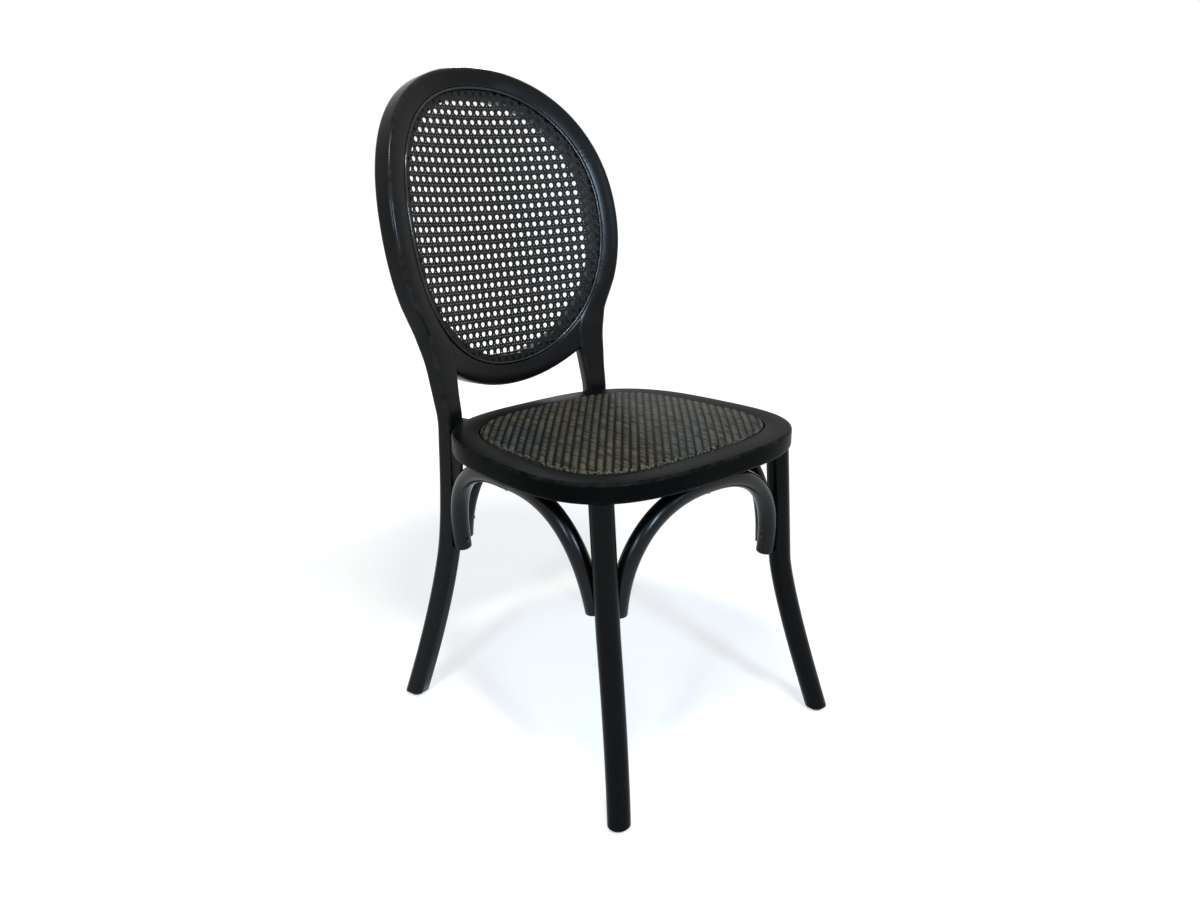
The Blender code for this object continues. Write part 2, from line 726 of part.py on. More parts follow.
def spline_points():
    points = []
    inset = -(CANE_SPLINE_RADIUS + FIT_GAP)
    level = CANE_THICKNESS / 2 + FIT_GAP + CANE_SPLINE_RADIUS
    for k in range(SPLINE_POINTS):
        point = lip_point(2 * math.pi * k / SPLINE_POINTS, inset)
        points.append(back_point(point.x, point.y, level))
    return points


def arch_half_width(height, spring, power):
    """Share of an arch's full half width at a height."""
    if height <= spring:
        return 1.0
    share = (height - spring) / (ARCH_APEX - spring)
    return max(0.0, 1 - share ** power) ** (1 / power)


def arch_path(start, end, lean, spring, power):
    """Centre line from one end up over the arch and down to the other end."""
    middle = (start + end) / 2
    along = (end - start) / 2
    flat = Vector((along.x, along.y, 0.0))
    sideways = Vector((along.y, -along.x, 0.0)).normalized()
    points = [start.copy()]
    for k in range(ARCH_STATIONS + 1):
        angle = math.pi * k / ARCH_STATIONS
        across = -math.cos(angle)
        limit = start.z if across < 0 else end.z
        height = spring + (ARCH_APEX - spring) * abs(math.sin(angle)) ** (2 / power)
        if height < limit + ARCH_RADIUS / 3:
            continue
        offset = signed_power(across, 2 / power) / arch_half_width(limit, spring, power)
        spot = middle + flat * offset + sideways * (lean * (height - limit))
        points.append(Vector((spot.x, spot.y, height)))
    points.append(end.copy())
    return points


def beside(leg, bearing, reach, height):
    """Where an arch's end stands beside a leg: a bearing from inward towards the middle of the chair."""
    forward = 1 if leg.y < 0 else -1
    return Vector((leg.x - math.cos(bearing) * reach, leg.y + forward * math.sin(bearing) * reach, height))


def flip(point):
    return Vector((-point.x, point.y, point.z))


def arch_layout():
    """Ends, lean and shape of the four braces."""
    def front_end(bearing, height):
        reach = front_leg_radius(height) + ARCH_RADIUS - ARCH_COPE
        return beside(front_leg_place(height), bearing, reach, height)

    def rear_end(bearing, height):
        reach = REAR_LEG_SIZE / 2 + ARCH_RADIUS - ARCH_COPE
        return beside(rear_leg_place(height), bearing, reach, height)

    front = front_end(FRONT_ARCH_BEARING, FRONT_ARCH_END_HEIGHT)
    rear = rear_end(REAR_ARCH_BEARING, REAR_ARCH_END_HEIGHT)
    side_front = front_end(SIDE_ARCH_FRONT_BEARING, SIDE_ARCH_FRONT_END_HEIGHT)
    side_rear = rear_end(SIDE_ARCH_REAR_BEARING, SIDE_ARCH_REAR_END_HEIGHT)
    return {
        "arch_brace_front": (flip(front), front, FRONT_ARCH_LEAN, FRONT_ARCH_SPRING_HEIGHT, FRONT_ARCH_POWER),
        "arch_brace_rear": (rear, flip(rear), REAR_ARCH_LEAN, FRONT_ARCH_SPRING_HEIGHT, FRONT_ARCH_POWER),
        "arch_brace_left": (side_front, side_rear, SIDE_ARCH_LEAN, SIDE_ARCH_SPRING_HEIGHT, SIDE_ARCH_POWER),
        "arch_brace_right": (flip(side_rear), flip(side_front), SIDE_ARCH_LEAN, SIDE_ARCH_SPRING_HEIGHT,
                             SIDE_ARCH_POWER),
    }


def screw_mesh(name, head, direction, length, radius, head_radius, head_height):
    """A round-headed screw whose head's underside is at head."""
    profile = ((head_radius * 0.55, -head_height), (head_radius, 0.0), (radius, 0.0),
               (radius, length - radius), (radius * 0.4, length))
    return turned(name, profile, head, direction, sides=8)


def add_screw(name, head, direction, length, group, material):
    """Place a small screw and return the shape of its hole."""
    direction = Vector(direction)
    place(screw_mesh(name, head, direction, length, SCREW_RADIUS, SCREW_HEAD_RADIUS, SCREW_HEAD_HEIGHT),
          name, group, material)
    return rod(name + "_hole", head - direction * CUT_PAST, head + direction * (length + TIP_GAP),
               SCREW_RADIUS + HOLE_CLEARANCE, 8)


def at_height(path, height, first):
    """The point of an arch's path at a height near one of its ends, and the way the arch runs there."""
    points = path if first else path[::-1]
    for low, high in zip(points, points[1:]):
        if low.z <= height <= high.z:
            break
    return low.lerp(high, (height - low.z) / (high.z - low.z)), (high - low).normalized()


def black_lacquer(name, brightness, roughness):
    return make_material(name, (brightness, brightness * 1.05, brightness * 1.15), roughness)


def screw_steel():
    return make_material("black_steel_screws", (0.03, 0.03, 0.03), 0.40, 0.9)


def add_hoop(parts, rebate):
    """Bent hoop that runs down into both rear legs, as a mirrored half."""
    lacquer = black_lacquer("black_lacquered_hoop", 0.018, 0.28)
    hoop = place(hoop_half_mesh("back_hoop"), "back_hoop", parts, lacquer)
    mirror_across(hoop)
    boolean(hoop, rebate)
    return hoop


def add_rail(parts, hoop_cutter, rebate):
    """Lower rail that closes the oval between the posts."""
    rail = place(rail_mesh(), "back_lower_rail", parts, black_lacquer("black_lacquered_rail", 0.018, 0.28))
    boolean(rail, hoop_cutter)
    boolean(rail, rebate)
    return rail


def add_dowels(parts, cutters, rail, hoop):
    """Two dowels through each joint of rail and post."""
    beech = make_material("beech_dowel", (0.55, 0.38, 0.22), 0.60)
    seam = POST_X_AT_RAIL - POST_WIDTH_AT_RAIL / 2
    holes = []
    for side, label in SIDES:
        for up, level in zip(DOWEL_HEIGHTS, ("upper", "lower")):
            centre = back_point(seam, up, HOOP_FACE_PROUD - DOWEL_DEPTH)
            start = Vector((side * (centre.x - DOWEL_LENGTH / 2), centre.y, centre.z))
            end = Vector((side * (centre.x + DOWEL_LENGTH / 2), centre.y, centre.z))
            past = Vector((side * FIT_GAP * 2, 0, 0))
            name = "rail_dowel_" + label + "_" + level
            place(rod(name, start, end, DOWEL_RADIUS, 10), name, parts, beech)
            holes.append(rod("dowel_hole", start - past, end + past, DOWEL_RADIUS + FIT_GAP, 10))
    cutter = place(joined("dowel_holes", holes), "dowel_holes", cutters)
    boolean(rail, cutter)
    boolean(hoop, cutter)


def add_cane(parts, cutters):
    """Cane panel trimmed to the oval, and the spline that holds it in the rebate."""
    cane = make_material("black_woven_cane", (0.016, 0.015, 0.016), 0.55)
    panel = place(cane_net_mesh(), "cane_panel", parts, cane)
    reach = CANE_THICKNESS * 3
    trim = place(oval_slab("cane_trim", -FIT_GAP * 2, -reach, reach), "cane_trim", cutters)
    boolean(panel, trim, 'INTERSECT')
    tube = curve_tube("cane_spline", spline_points(), CANE_SPLINE_RADIUS, cyclic=True, resolution=1)
    place(tube, "cane_spline", parts, black_lacquer("black_cane_spline", 0.020, 0.30))


def add_seat_frame(parts, cutters, hoop, hoop_cutter):
    """Seat ring with an ear that meets each post, and the bolt through post and ear."""
    bolt_steel = make_material("black_steel_bolts", (0.03, 0.03, 0.03), 0.35, 0.9)
    lacquer = black_lacquer("black_lacquered_seat_frame", 0.020, 0.32)
    frame = place(seat_frame_mesh(), "seat_frame", parts, lacquer)
    middle = SEAT_FRAME_BOTTOM + SEAT_FRAME_THICKNESS / 2
    post = rear_leg_place(middle)
    up = Vector((0, 0, 1))
    holes = []
    for side, label in SIDES:
        rearward = Vector((side * math.sin(HOOP_TURN), math.cos(HOOP_TURN), 0))
        across = rearward.cross(up)
        centre = Vector((side * post.x, post.y, middle))
        front_face = centre - rearward * (POST_DEPTH / 2) - across * (side * EAR_SET_IN)
        height = SEAT_FRAME_THICKNESS - 2 * EAR_DROP
        sections = [rounded_section(front_face + rearward * reach, across, up,
                                    EAR_WIDTH, height, EAR_CORNER, 0.0)
                    for reach in (-SEAT_FRAME_FACE, POST_DEPTH / 4)]
        ear = place(loft("seat_ear_" + label, sections), "seat_ear_" + label, cutters)
        boolean(frame, ear, 'UNION')
        head = centre + rearward * (POST_DEPTH / 2 - BOLT_SEAT_DEPTH)
        length = POST_DEPTH + BOLT_BITE
        name = "post_bolt_" + label
        place(screw_mesh(name, head, -rearward, length, BOLT_RADIUS, BOLT_HEAD_RADIUS, BOLT_HEAD_HEIGHT),
              name, parts, bolt_steel)
        seat_radius = BOLT_HEAD_RADIUS + BOLT_HEAD_CLEARANCE
        hole_radius = BOLT_RADIUS + HOLE_CLEARANCE
        profile = ((seat_radius, -REBATE_REACH), (seat_radius, FIT_GAP),
                   (hole_radius, FIT_GAP), (hole_radius, length + TIP_GAP))
        holes.append(turned(name + "_hole", profile, head, -rearward, sides=12))
    boolean(frame, hoop_cutter)
    cutter = place(joined("bolt_holes", holes), "bolt_holes", cutters)
    boolean(frame, cutter)
    boolean(hoop, cutter)
    return frame


def add_front_legs(parts, cutters, frame):
    """Turned front legs, each with a tenon up into the seat frame."""
    lacquer = black_lacquer("black_lacquered_leg", 0.017, 0.28)
    top = front_leg_place(SEAT_FRAME_BOTTOM)
    legs = []
    for side, label in SIDES:
        leg = place(front_leg_mesh("front_leg_" + label, side), "front_leg_" + label, parts, lacquer)
        root = Vector((side * top.x, top.y, SEAT_FRAME_BOTTOM - TENON_ROOT))
        tip = Vector((side * top.x, top.y, SEAT_FRAME_BOTTOM + TENON_LENGTH))
        tenon = place(rod("tenon_" + label, root, tip, TENON_RADIUS, 14), "tenon_" + label, cutters)
        boolean(leg, tenon, 'UNION')
        past = Vector((0, 0, 2 * FIT_GAP))
        socket = place(rod("socket_" + label, root, tip + past, TENON_RADIUS + 2 * FIT_GAP, 14),
                       "socket_" + label, cutters)
        boolean(frame, socket)
        legs.append(leg)
    return legs


def arch_leg_screws(name, path, ends, parts, steel):
    """The screw through each end of an arch into its leg."""
    holes = []
    for number, first, foot in (("1", True, ends[0]), ("2", False, ends[1])):
        level = foot.z + LEG_SCREW_RISE
        if name in ("arch_brace_front", "arch_brace_rear"):
            level = max(SIDE_ARCH_FRONT_END_HEIGHT, foot.z) + LEG_SCREW_RISE + SCREW_CLEARANCE_ABOVE
        spot, along = at_height(path, level, first)
        leg = front_leg_place(level) if spot.y < 0 else rear_leg_place(level)
        target = Vector((math.copysign(leg.x, spot.x), leg.y, level))
        toward = target - spot
        toward = (toward - along * toward.dot(along)).normalized()
        head = spot - toward * (ARCH_RADIUS + SCREW_HEAD_GAP)
        holes.append(add_screw(name + "_leg_screw_" + number, head, toward,
                               ARCH_RADIUS * 2 + LEG_SCREW_BITE, parts, steel))
    return holes


def add_arches(parts, cutters, frame, hoop, legs, hoop_cutter, leg_cutters):
    """Four arched braces, each screwed to two legs and up into the seat frame."""
    lacquer = black_lacquer("black_lacquered_brace", 0.016, 0.22)
    steel = screw_steel()
    meets = {"arch_brace_front": leg_cutters, "arch_brace_rear": [hoop_cutter],
             "arch_brace_left": leg_cutters + [hoop_cutter], "arch_brace_right": leg_cutters + [hoop_cutter]}
    leg_holes = []
    seat_holes = []
    arches = []
    for name, (start, end, lean, spring, power) in arch_layout().items():
        path = arch_path(start, end, lean, spring, power)
        arch = place(curve_tube(name, path, ARCH_RADIUS, resolution=4), name, parts, lacquer)
        for cutter in meets[name]:
            boolean(arch, cutter)
        leg_holes += arch_leg_screws(name, path, (start, end), parts, steel)
        top = max(path, key=lambda point: point.z)
        head = Vector((top.x, top.y, ARCH_APEX - ARCH_RADIUS - SCREW_HEAD_GAP))
        seat_holes.append(add_screw(name + "_seat_screw", head, (0, 0, 1),
                                    ARCH_RADIUS * 2 + SEAT_SCREW_BITE, parts, steel))
        arches.append(arch)
    leg_hole_cut = place(joined("leg_screw_holes", leg_holes), "leg_screw_holes", cutters)
    seat_hole_cut = place(joined("seat_screw_holes", seat_holes), "seat_screw_holes", cutters)
    for arch in arches:
        boolean(arch, leg_hole_cut)
        boolean(arch, seat_hole_cut)
    boolean(frame, seat_hole_cut)
    for leg in [hoop] + legs:
        boolean(leg, leg_hole_cut)


def add_seat_board(parts, cutters, frame):
    """Plywood board on the frame's ledge, screwed up from below."""
    steel = screw_steel()
    board = place(seat_board_mesh(), "seat_board", parts, make_material("plywood", (0.32, 0.22, 0.13), 0.65))
    length = SEAT_BOARD_BOTTOM - SEAT_FRAME_BOTTOM + BOARD_SCREW_BITE
    holes = []
    for index in range(BOARD_SCREW_COUNT):
        angle = 2 * math.pi * (index + 0.5) / BOARD_SCREW_COUNT
        spot = seat_point(angle, SEAT_FRAME_FACE + SEAT_LEDGE_WIDTH / 2)
        head = Vector((spot.x, spot.y, SEAT_FRAME_BOTTOM - SCREW_HEAD_GAP))
        holes.append(add_screw("seat_board_screw_" + str(index + 1), head, (0, 0, 1), length, parts, steel))
    cutter = place(joined("board_screw_holes", holes), "board_screw_holes", cutters)
    boolean(frame, cutter)
    boolean(board, cutter)


def add_seat_pad(parts):
    """Woven pad on the board, softened from its cage."""
    woven = make_material("dark_brown_woven_rattan", (0.045, 0.039, 0.031), 0.50)
    pad = place(seat_pad_mesh(), "seat_pad", parts, woven)
    soften = pad.modifiers.new("soften", 'SUBSURF')
    soften.levels = 1
    soften.render_levels = 1


def add_glides(parts, cutters, hoop, legs):
    """A plastic glide under each foot, its pin up in the leg."""
    plastic = make_material("black_glide_plastic", (0.025, 0.025, 0.025), 0.55)
    rim = GLIDE_HEIGHT - FIT_GAP
    profile = ((GLIDE_RADIUS - GLIDE_EDGE, 0.0), (GLIDE_RADIUS, GLIDE_EDGE), (GLIDE_RADIUS, rim),
               (GLIDE_PIN_RADIUS, rim), (GLIDE_PIN_RADIUS, rim + GLIDE_PIN_LENGTH))
    holes = []
    for row, place_at in (("front", front_leg_place), ("rear", rear_leg_place)):
        foot = place_at(GLIDE_HEIGHT)
        for side, label in SIDES:
            base = Vector((side * foot.x, foot.y, 0.0))
            name = "foot_glide_" + row + "_" + label
            place(turned(name, profile, base, (0, 0, 1), sides=14), name, parts, plastic)
            low = base - Vector((0, 0, CUT_PAST))
            high = base + Vector((0, 0, rim + GLIDE_PIN_LENGTH + 2 * FIT_GAP))
            holes.append(rod(name + "_hole", low, high, GLIDE_PIN_RADIUS + 2 * FIT_GAP, 12))
    cutter = place(joined("glide_holes", holes), "glide_holes", cutters)
    for leg in [hoop] + legs:
        boolean(leg, cutter)


def build():
    clear_scene()
    parts = new_collection("rattan_dining_chair")
    cutters = new_collection("cutters")

    # Shapes that cut more than one piece
    hoop_cutter = place(hoop_half_mesh("hoop_clearance", FIT_GAP), "hoop_clearance", cutters)
    mirror_across(hoop_cutter)
    rebate = place(oval_slab("rebate", 0.0, HOOP_FACE_PROUD - REBATE_DEPTH, REBATE_REACH), "rebate", cutters)
    leg_cutters = []
    for side, label in SIDES:
        name = "leg_clearance_" + label
        leg_cutters.append(place(front_leg_mesh(name, side, FIT_GAP), name, cutters))

    hoop = add_hoop(parts, rebate)
    rail = add_rail(parts, hoop_cutter, rebate)
    add_dowels(parts, cutters, rail, hoop)
    add_cane(parts, cutters)
    frame = add_seat_frame(parts, cutters, hoop, hoop_cutter)
    legs = add_front_legs(parts, cutters, frame)
    add_arches(parts, cutters, frame, hoop, legs, hoop_cutter, leg_cutters)
    add_seat_board(parts, cutters, frame)
    add_seat_pad(parts)
    add_glides(parts, cutters, hoop, legs)

    for item in parts.objects:
        shade(item.data)
        item.location.y = -BOX_MIDDLE_Y
    for item in cutters.objects:
        item.location.y = -BOX_MIDDLE_Y


build()
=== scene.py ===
"""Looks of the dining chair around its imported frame: lacquered bentwood, woven cane and a woven pad."""
from math import copysign, cos, hypot, pi, radians, sin, sqrt, tan

import bmesh
import bpy
import numpy as np
from mathutils import Matrix, Vector


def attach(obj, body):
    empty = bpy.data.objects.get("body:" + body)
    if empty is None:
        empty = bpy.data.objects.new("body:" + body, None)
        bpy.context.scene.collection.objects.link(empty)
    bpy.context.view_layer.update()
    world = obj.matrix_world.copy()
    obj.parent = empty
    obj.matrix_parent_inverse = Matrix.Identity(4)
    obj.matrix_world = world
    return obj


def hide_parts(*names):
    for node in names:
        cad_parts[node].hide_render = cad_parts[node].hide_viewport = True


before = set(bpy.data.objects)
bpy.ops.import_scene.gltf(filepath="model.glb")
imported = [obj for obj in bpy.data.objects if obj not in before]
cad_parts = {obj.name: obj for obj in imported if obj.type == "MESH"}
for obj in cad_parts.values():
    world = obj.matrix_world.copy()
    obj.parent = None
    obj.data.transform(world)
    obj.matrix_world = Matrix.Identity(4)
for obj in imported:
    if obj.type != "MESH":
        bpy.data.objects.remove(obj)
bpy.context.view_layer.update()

# Sizes are measured like the frame's source, from midway between the feet, and moved back by this much
BOX_MIDDLE_Y = 0.0499
SIDES = ((1, "left"), (-1, "right"))
FIT_GAP = 0.0003
ROUND_STEPS = 3
# Curvature from which a ring's corners take the lighter lacquer, partly wear and partly a painted highlight
WORN_AND_SHEEN_CURVE = 75.0

# Camera, as solved from the photograph
CAMERA_PLACE = (-1.0809, -1.1604, 0.907)
CAMERA_YAW = 0.7602
CAMERA_PITCH = 0.3005
CAMERA_ROLL = -0.0025
CAMERA_FOCAL_PIXELS = 1075.1
PHOTO_WIDTH = 1200
SENSOR_WIDTH = 36.0

# Seat frame
SEAT_TOP = 0.465
SEAT_FRAME_THICKNESS = 0.029
SEAT_FRAME_BOTTOM = SEAT_TOP - SEAT_FRAME_THICKNESS
SEAT_FRAME_FACE = 0.040
SEAT_LEDGE_WIDTH = 0.018
SEAT_LEDGE_TOP = 0.451
SEAT_HALF_DEPTH = 0.2127
SEAT_HALF_WIDTH_FRONT = 0.2525
SEAT_HALF_WIDTH_REAR = 0.2210
SEAT_CENTRE_Y = -0.0138
SEAT_CORNER_POWER = 3.05
SEAT_TOP_ROUND = 0.0048
SEAT_BOTTOM_ROUND = 0.005
SEAT_INNER_ROUND = 0.0016
SEAT_OUTLINE_STEPS = 1440
SEAT_RINGS = 240
EAR_WIDTH = 0.030
EAR_SET_IN = 0.006
EAR_DROP = 0.0005
EAR_CORNER = 0.006
EAR_STOP = 0.002

# Pad
PAD_BASE = 0.4577
PAD_GAP = 0.0009
PAD_EDGE_ROUND = 0.0075
PAD_EDGE_TOP = 0.4650
PAD_CROWN = 0.0100
PAD_CROWN_POWER = 2.4
PAD_FULLNESS = 0.72
PAD_CLOTH_GRID = 61
PAD_CLOTH_START = 0.5
PAD_CLOTH = {"vertex_group_mass": "rim", "quality": 6, "tension_stiffness": 15, "compression_stiffness": 15,
             "use_pressure": True, "uniform_pressure_force": 4}
PAD_FRAMES = 20
PAD_RIM = 0.009
PAD_RELIEF_FADE = 0.004
PAD_GRID = 470
PAD_STRAND_PITCH = 0.0040
PAD_STRAND_RELIEF = 0.00050
PAD_FLOAT_RELIEF = 0.00045
PAD_WARP_LEAD = 0.35
PAD_RIB_RELIEF = 0.0018
PAD_RIB_POWER = 0.8
PAD_STRAND_POWER = 2.4
PAD_FLOAT_LENGTH = 4
PAD_SEED = 3
PAD_TONES = 509
PAD_WARP_SPREAD = (37, 101)
PAD_WEFT_SPREAD = (41, 89)
PAD_WEFT_TONE = 0.30

# Back surface, cane opening and hoop
BACK_MID_Y = 0.2656
BACK_MID_Z = 0.7546
BACK_RECLINE = radians(12.8)
BACK_CROSS_RADIUS = 0.504
BACK_BOW = 0.34
LIP_HALF_WIDTH = 0.1945
LIP_HALF_HEIGHT = 0.2195
LIP_CENTRE_UP = -0.013
LIP_POWER = 2.12
LEDGE_WIDTH = 0.0165
REBATE_DEPTH = 0.005
LIP_ROUND = 0.0022
LIP_ROUND_REACH = radians(72)
LIP_ROUND_STEPS = 5
LIP_POINTS = 192
REBATE_FLARE = 0.012
REBATE_CUT_TO = 0.060
REBATE_RINGS = 14
HOOP_FACE_PROUD = 0.004
HOOP_RIM = 0.0325
HOOP_RIM_AT_TOP = 0.0308
HOOP_WIDTH = HOOP_RIM + LEDGE_WIDTH
TOP_WIDTH = HOOP_RIM_AT_TOP + LEDGE_WIDTH
HOOP_DEPTH = 0.032
HOOP_CORNER = 0.0065
HOOP_TURN = radians(15)
HOOP_OVAL_END = radians(128)
HOOP_STATIONS = 11
PATH_STEPS = 6
SHOULDER_PASSES = 14
FOOT_CLEAR_STEPS = 3
HOOP_TURN_REACH = 0.160
HEIGHT_AT_RAIL = 0.560
SHOULDER_FROM_RAIL = (0.0085, 0.0045, 0.031)
LEG_SHAPING_LENGTH = 0.165
LEG_SHAPING_SHARES = (0.25, 0.5, 0.75, 1.0)
LEG_STATIONS = 7
POST_SHARES = (0.33, 0.66, 1.0)
POST_DEPTH = 0.025
DEPTH_SHARE_AT_SHOULDER = 0.3
DEPTH_SHARE_AT_RAIL = 0.6
POST_WIDTH_AT_RAIL = 0.0490
POST_WIDTH_AT_SEAT = 0.0375
POST_AT_RAIL = (0.1535, 0.2183)
POST_AT_SEAT = (0.1520, 0.2003)
RAIL_FACE = 0.0315
RAIL_EDGE_RADIUS = 0.278
RAIL_REACH = 0.140
RAIL_INNER_SPREAD = 0.985
RAIL_OUTER_SPREAD = 1.03
RAIL_STATIONS = 61

# Legs: each plan gives the place at the top, at the bend and at the foot
GLIDE_HEIGHT = 0.004
REAR_LEG_SIZE = 0.0308
REAR_LEG_CORNER = 0.010
REAR_LEG_BEND_HEIGHT = 0.280
REAR_LEG_PLAN = (POST_AT_SEAT, (0.1610, 0.1998), (0.2124, 0.2420))
REAR_LEG_FLARE_POWER = 1.6
REAR_LEG_BOW_POWER = 2.0
FRONT_LEG_FLARE_POWER = 1.4
FRONT_LEG_BEND_HEIGHT = 0.255
FRONT_LEG_RADIUS_TOP = 0.0171
FRONT_LEG_RADIUS_FOOT = 0.0161
FRONT_LEG_RINGS = 60
FRONT_LEG_SIDES = 40
FRONT_FOOT_SHARE = 0.88
FRONT_LEG_PLAN = ((0.1840, -0.1690), (0.1850, -0.1830), (0.2217, -0.2420))
FOOT_ROUND = 0.002

# Braces: each end's bearing from its leg and height, and each form's spring height and power
ARCH_RADIUS = 0.0138
ARCH_COPE = 0.003
ARCH_APEX = SEAT_FRAME_BOTTOM - FIT_GAP - ARCH_RADIUS
ARCH_END_ROUND = 0.0018
ARCH_STATIONS = 72
ARCH_SIDES = 32
FRONT_ARCH_END = (radians(17), 0.269)
REAR_ARCH_END = (radians(7), 0.271)
SIDE_ARCH_FRONT_END = (radians(82), 0.273)
SIDE_ARCH_REAR_END = (radians(73), 0.263)
CROSS_ARCH_FORM = (0.269, 2.4)
SIDE_ARCH_FORM = (0.215, 2.75)
FRONT_ARCH_LEAN = 0.118
REAR_ARCH_LEAN = -0.080
SIDE_ARCH_LEAN = 0.160

# Cane weave: holes in a square grid, a pair of strands each way between them, and a diagonal each way
CANE_PITCH_ACROSS = 0.01410
CANE_PITCH_UP = 0.01496
CANE_PHASE_ACROSS = 0.19
CANE_TILT = radians(-0.9)
CANE_TURN = np.array(((cos(CANE_TILT), -sin(CANE_TILT)), (sin(CANE_TILT), cos(CANE_TILT))))
CANE_PAIR_OFFSET = 0.00200
CANE_STRAND_WIDTH = 0.0035
CANE_STRAND_THICKNESS = 0.00060
CANE_WEAVE_RISE = 0.00032
CANE_STEPS_PER_PITCH = 8
CANE_WEAVE_SLOPE = 1.8
CANE_EDGE_INSET = 0.0006
CANE_THICKNESS = 0.0010
CANE_REACH = 0.30
CANE_COLUMNS = 16
CANE_ROWS = 17
CANE_DIAGONALS = 32
CANE_SEED = 7
STRAND_SECTION = ((-1.0, 0.0), (-0.62, 0.42), (0.0, 0.55), (0.62, 0.42), (1.0, 0.0), (0.0, -0.45))
SPLINE_RADIUS = 0.0021
SPLINE_POINTS = 240
SPLINE_SIDES = 14

# Surfaces of black lacquer: dark and light colour, roughness and specular level
LACQUERS = {
    "black_lacquer_hoop": ((0.0010, 0.0012, 0.0015), (0.0020, 0.0020, 0.0022), 0.22, 0.13),
    "black_lacquer_seat_frame": ((0.0013, 0.0015, 0.0013), (0.0030, 0.0033, 0.0030), 0.34, 0.014),
    "black_lacquer_legs": ((0.0011, 0.0013, 0.0013), (0.0022, 0.0024, 0.0024), 0.24, 0.07),
    "black_lacquer_braces": ((0.0010, 0.0012, 0.0014), (0.0020, 0.0021, 0.0023), 0.22, 0.18),
    "black_spline": ((0.0020, 0.0020, 0.0022), (0.0045, 0.0045, 0.0045), 0.15, 0.38),
}
LACQUER_GRAIN = (0.0070, 0.0068, 0.0066)
# Lighter lacquer on tight corners: partly wear, partly a painted highlight
LACQUER_WORN_AND_SHEEN = (0.012, 0.0115, 0.011)
CANE_DARK = (0.0045, 0.0043, 0.0045)
CANE_LIGHT = (0.0130, 0.0120, 0.0108)
RATTAN_BROWN = ((0.0050, 0.0046, 0.0032), (0.098, 0.081, 0.052))
RATTAN_GREY = ((0.0045, 0.0050, 0.0045), (0.062, 0.065, 0.056))
# Painted shade for the low grooves between strands
RATTAN_GROOVE_SHADE = (0.0020, 0.0020, 0.0015)
RATTAN_FLECK = (0.15, 0.13, 0.09)
RATTAN_RIM = (0.0020, 0.0020, 0.0018)

# Studio: each lamp's name, place, aim, width and height, power and colour
WORLD_COLOUR = (0.93, 0.97, 1.0)
WORLD_STRENGTH = 0.20
FLOOR_HALF = 12.0
FLOOR_COLOUR = (0.50, 0.50, 0.50)
FLOOR_GLOW = 0.64
FLOOR_GLOW_FROM = 0.8
FLOOR_WHITE_FROM = 2.4
LAMPS = (
    ("overhead", (-0.70, -0.78, 2.80), (0.0, 0.0, 0.5), (0.34, 0.34), 38.0, (1.0, 0.94, 0.82)),
    ("front_window", (-0.45, -1.98, 1.62), (-0.1, 0.1, 0.75), (0.30, 0.56), 40.0, (0.54, 0.77, 1.0)),
    ("side_window", (-2.05, -0.98, 1.62), (-0.2, 0.1, 0.75), (0.20, 0.60), 24.0, (0.58, 0.79, 1.0)),
    ("front_panel", (0.78, -2.10, 1.55), (0.1, 0.0, 0.7), (0.45, 0.90), 4.0, (0.46, 0.71, 1.0)),
    ("back_panel", (1.7, 2.2, 1.9), (0.0, 0.0, 0.6), (0.4, 0.9), 20.0, (0.90, 0.95, 1.0)),
)


def blend(low, high, share):
    return low + (high - low) * share


def signed_power(value, power):
    return copysign(abs(value) ** power, value)


def smooth_step(value):
    value = min(max(value, 0.0), 1.0)
    return value * value * (3 - 2 * value)


def through(stations, steps):
    """Points of a smooth curve through stations of any number of values."""
    result = []
    last = len(stations) - 1
    for k in range(last):
        p0 = np.array(stations[max(k - 1, 0)])
        p1 = np.array(stations[k])
        p2 = np.array(stations[k + 1])
        p3 = np.array(stations[min(k + 2, last)])
        for step in range(steps):
            t = step / steps
            result.append(0.5 * (2 * p1 + (p2 - p0) * t + (2 * p0 - 5 * p1 + 4 * p2 - p3) * t ** 2
                                 + (3 * p1 - p0 - 3 * p2 + p3) * t ** 3))
    result.append(np.array(stations[last]))
    return result


def eased(path, first, last, passes):
    """Soften a stretch of a path, so that a wide section turns it without folding."""
    for _ in range(passes):
        path[first:last] = [(path[k - 1] + 2 * path[k] + path[k + 1]) / 4 for k in range(first, last)]
    return path


def heading(places, k):
    """Direction of a path at one of its places."""
    return (places[min(k + 1, len(places) - 1)] - places[max(k - 1, 0)]).normalized()


def moved_square(outline, angle, step, distance):
    """A point of an outline, moved square to it, to the left of the way it runs."""
    forward = outline(angle + step) - outline(angle - step)
    return outline(angle) + Vector((-forward.y, forward.x)).normalized() * distance


def quarter(radius, steps, start=0.0, turn=pi / 2):
    """Offsets of a quarter round, from one face to the next."""
    angles = [start + turn * k / steps for k in range(steps + 1)]
    return [(radius * (1 - cos(angle)), radius * (1 - sin(angle))) for angle in angles]


# Meshes and pieces


def corner_shares(ring):
    """How tightly a ring turns at each point: 0 on flats and wide curves, 1 on a tight corner."""
    points = np.array(ring)
    before = points - np.roll(points, 1, axis=0)
    after = np.roll(points, -1, axis=0) - points
    first, second = (np.linalg.norm(step, axis=1) for step in (before, after))
    turn = np.arccos(np.clip(np.sum(before * after, axis=1) / np.maximum(first * second, 1e-12), -1, 1))
    return np.clip((2 * turn / np.maximum(first + second, 1e-9) - WORN_AND_SHEEN_CURVE) / WORN_AND_SHEEN_CURVE, 0, 1)


def face_outward(mesh):
    work = bmesh.new()
    work.from_mesh(mesh)
    bmesh.ops.recalc_face_normals(work, faces=work.faces)
    work.to_mesh(mesh)
    work.free()
    return mesh


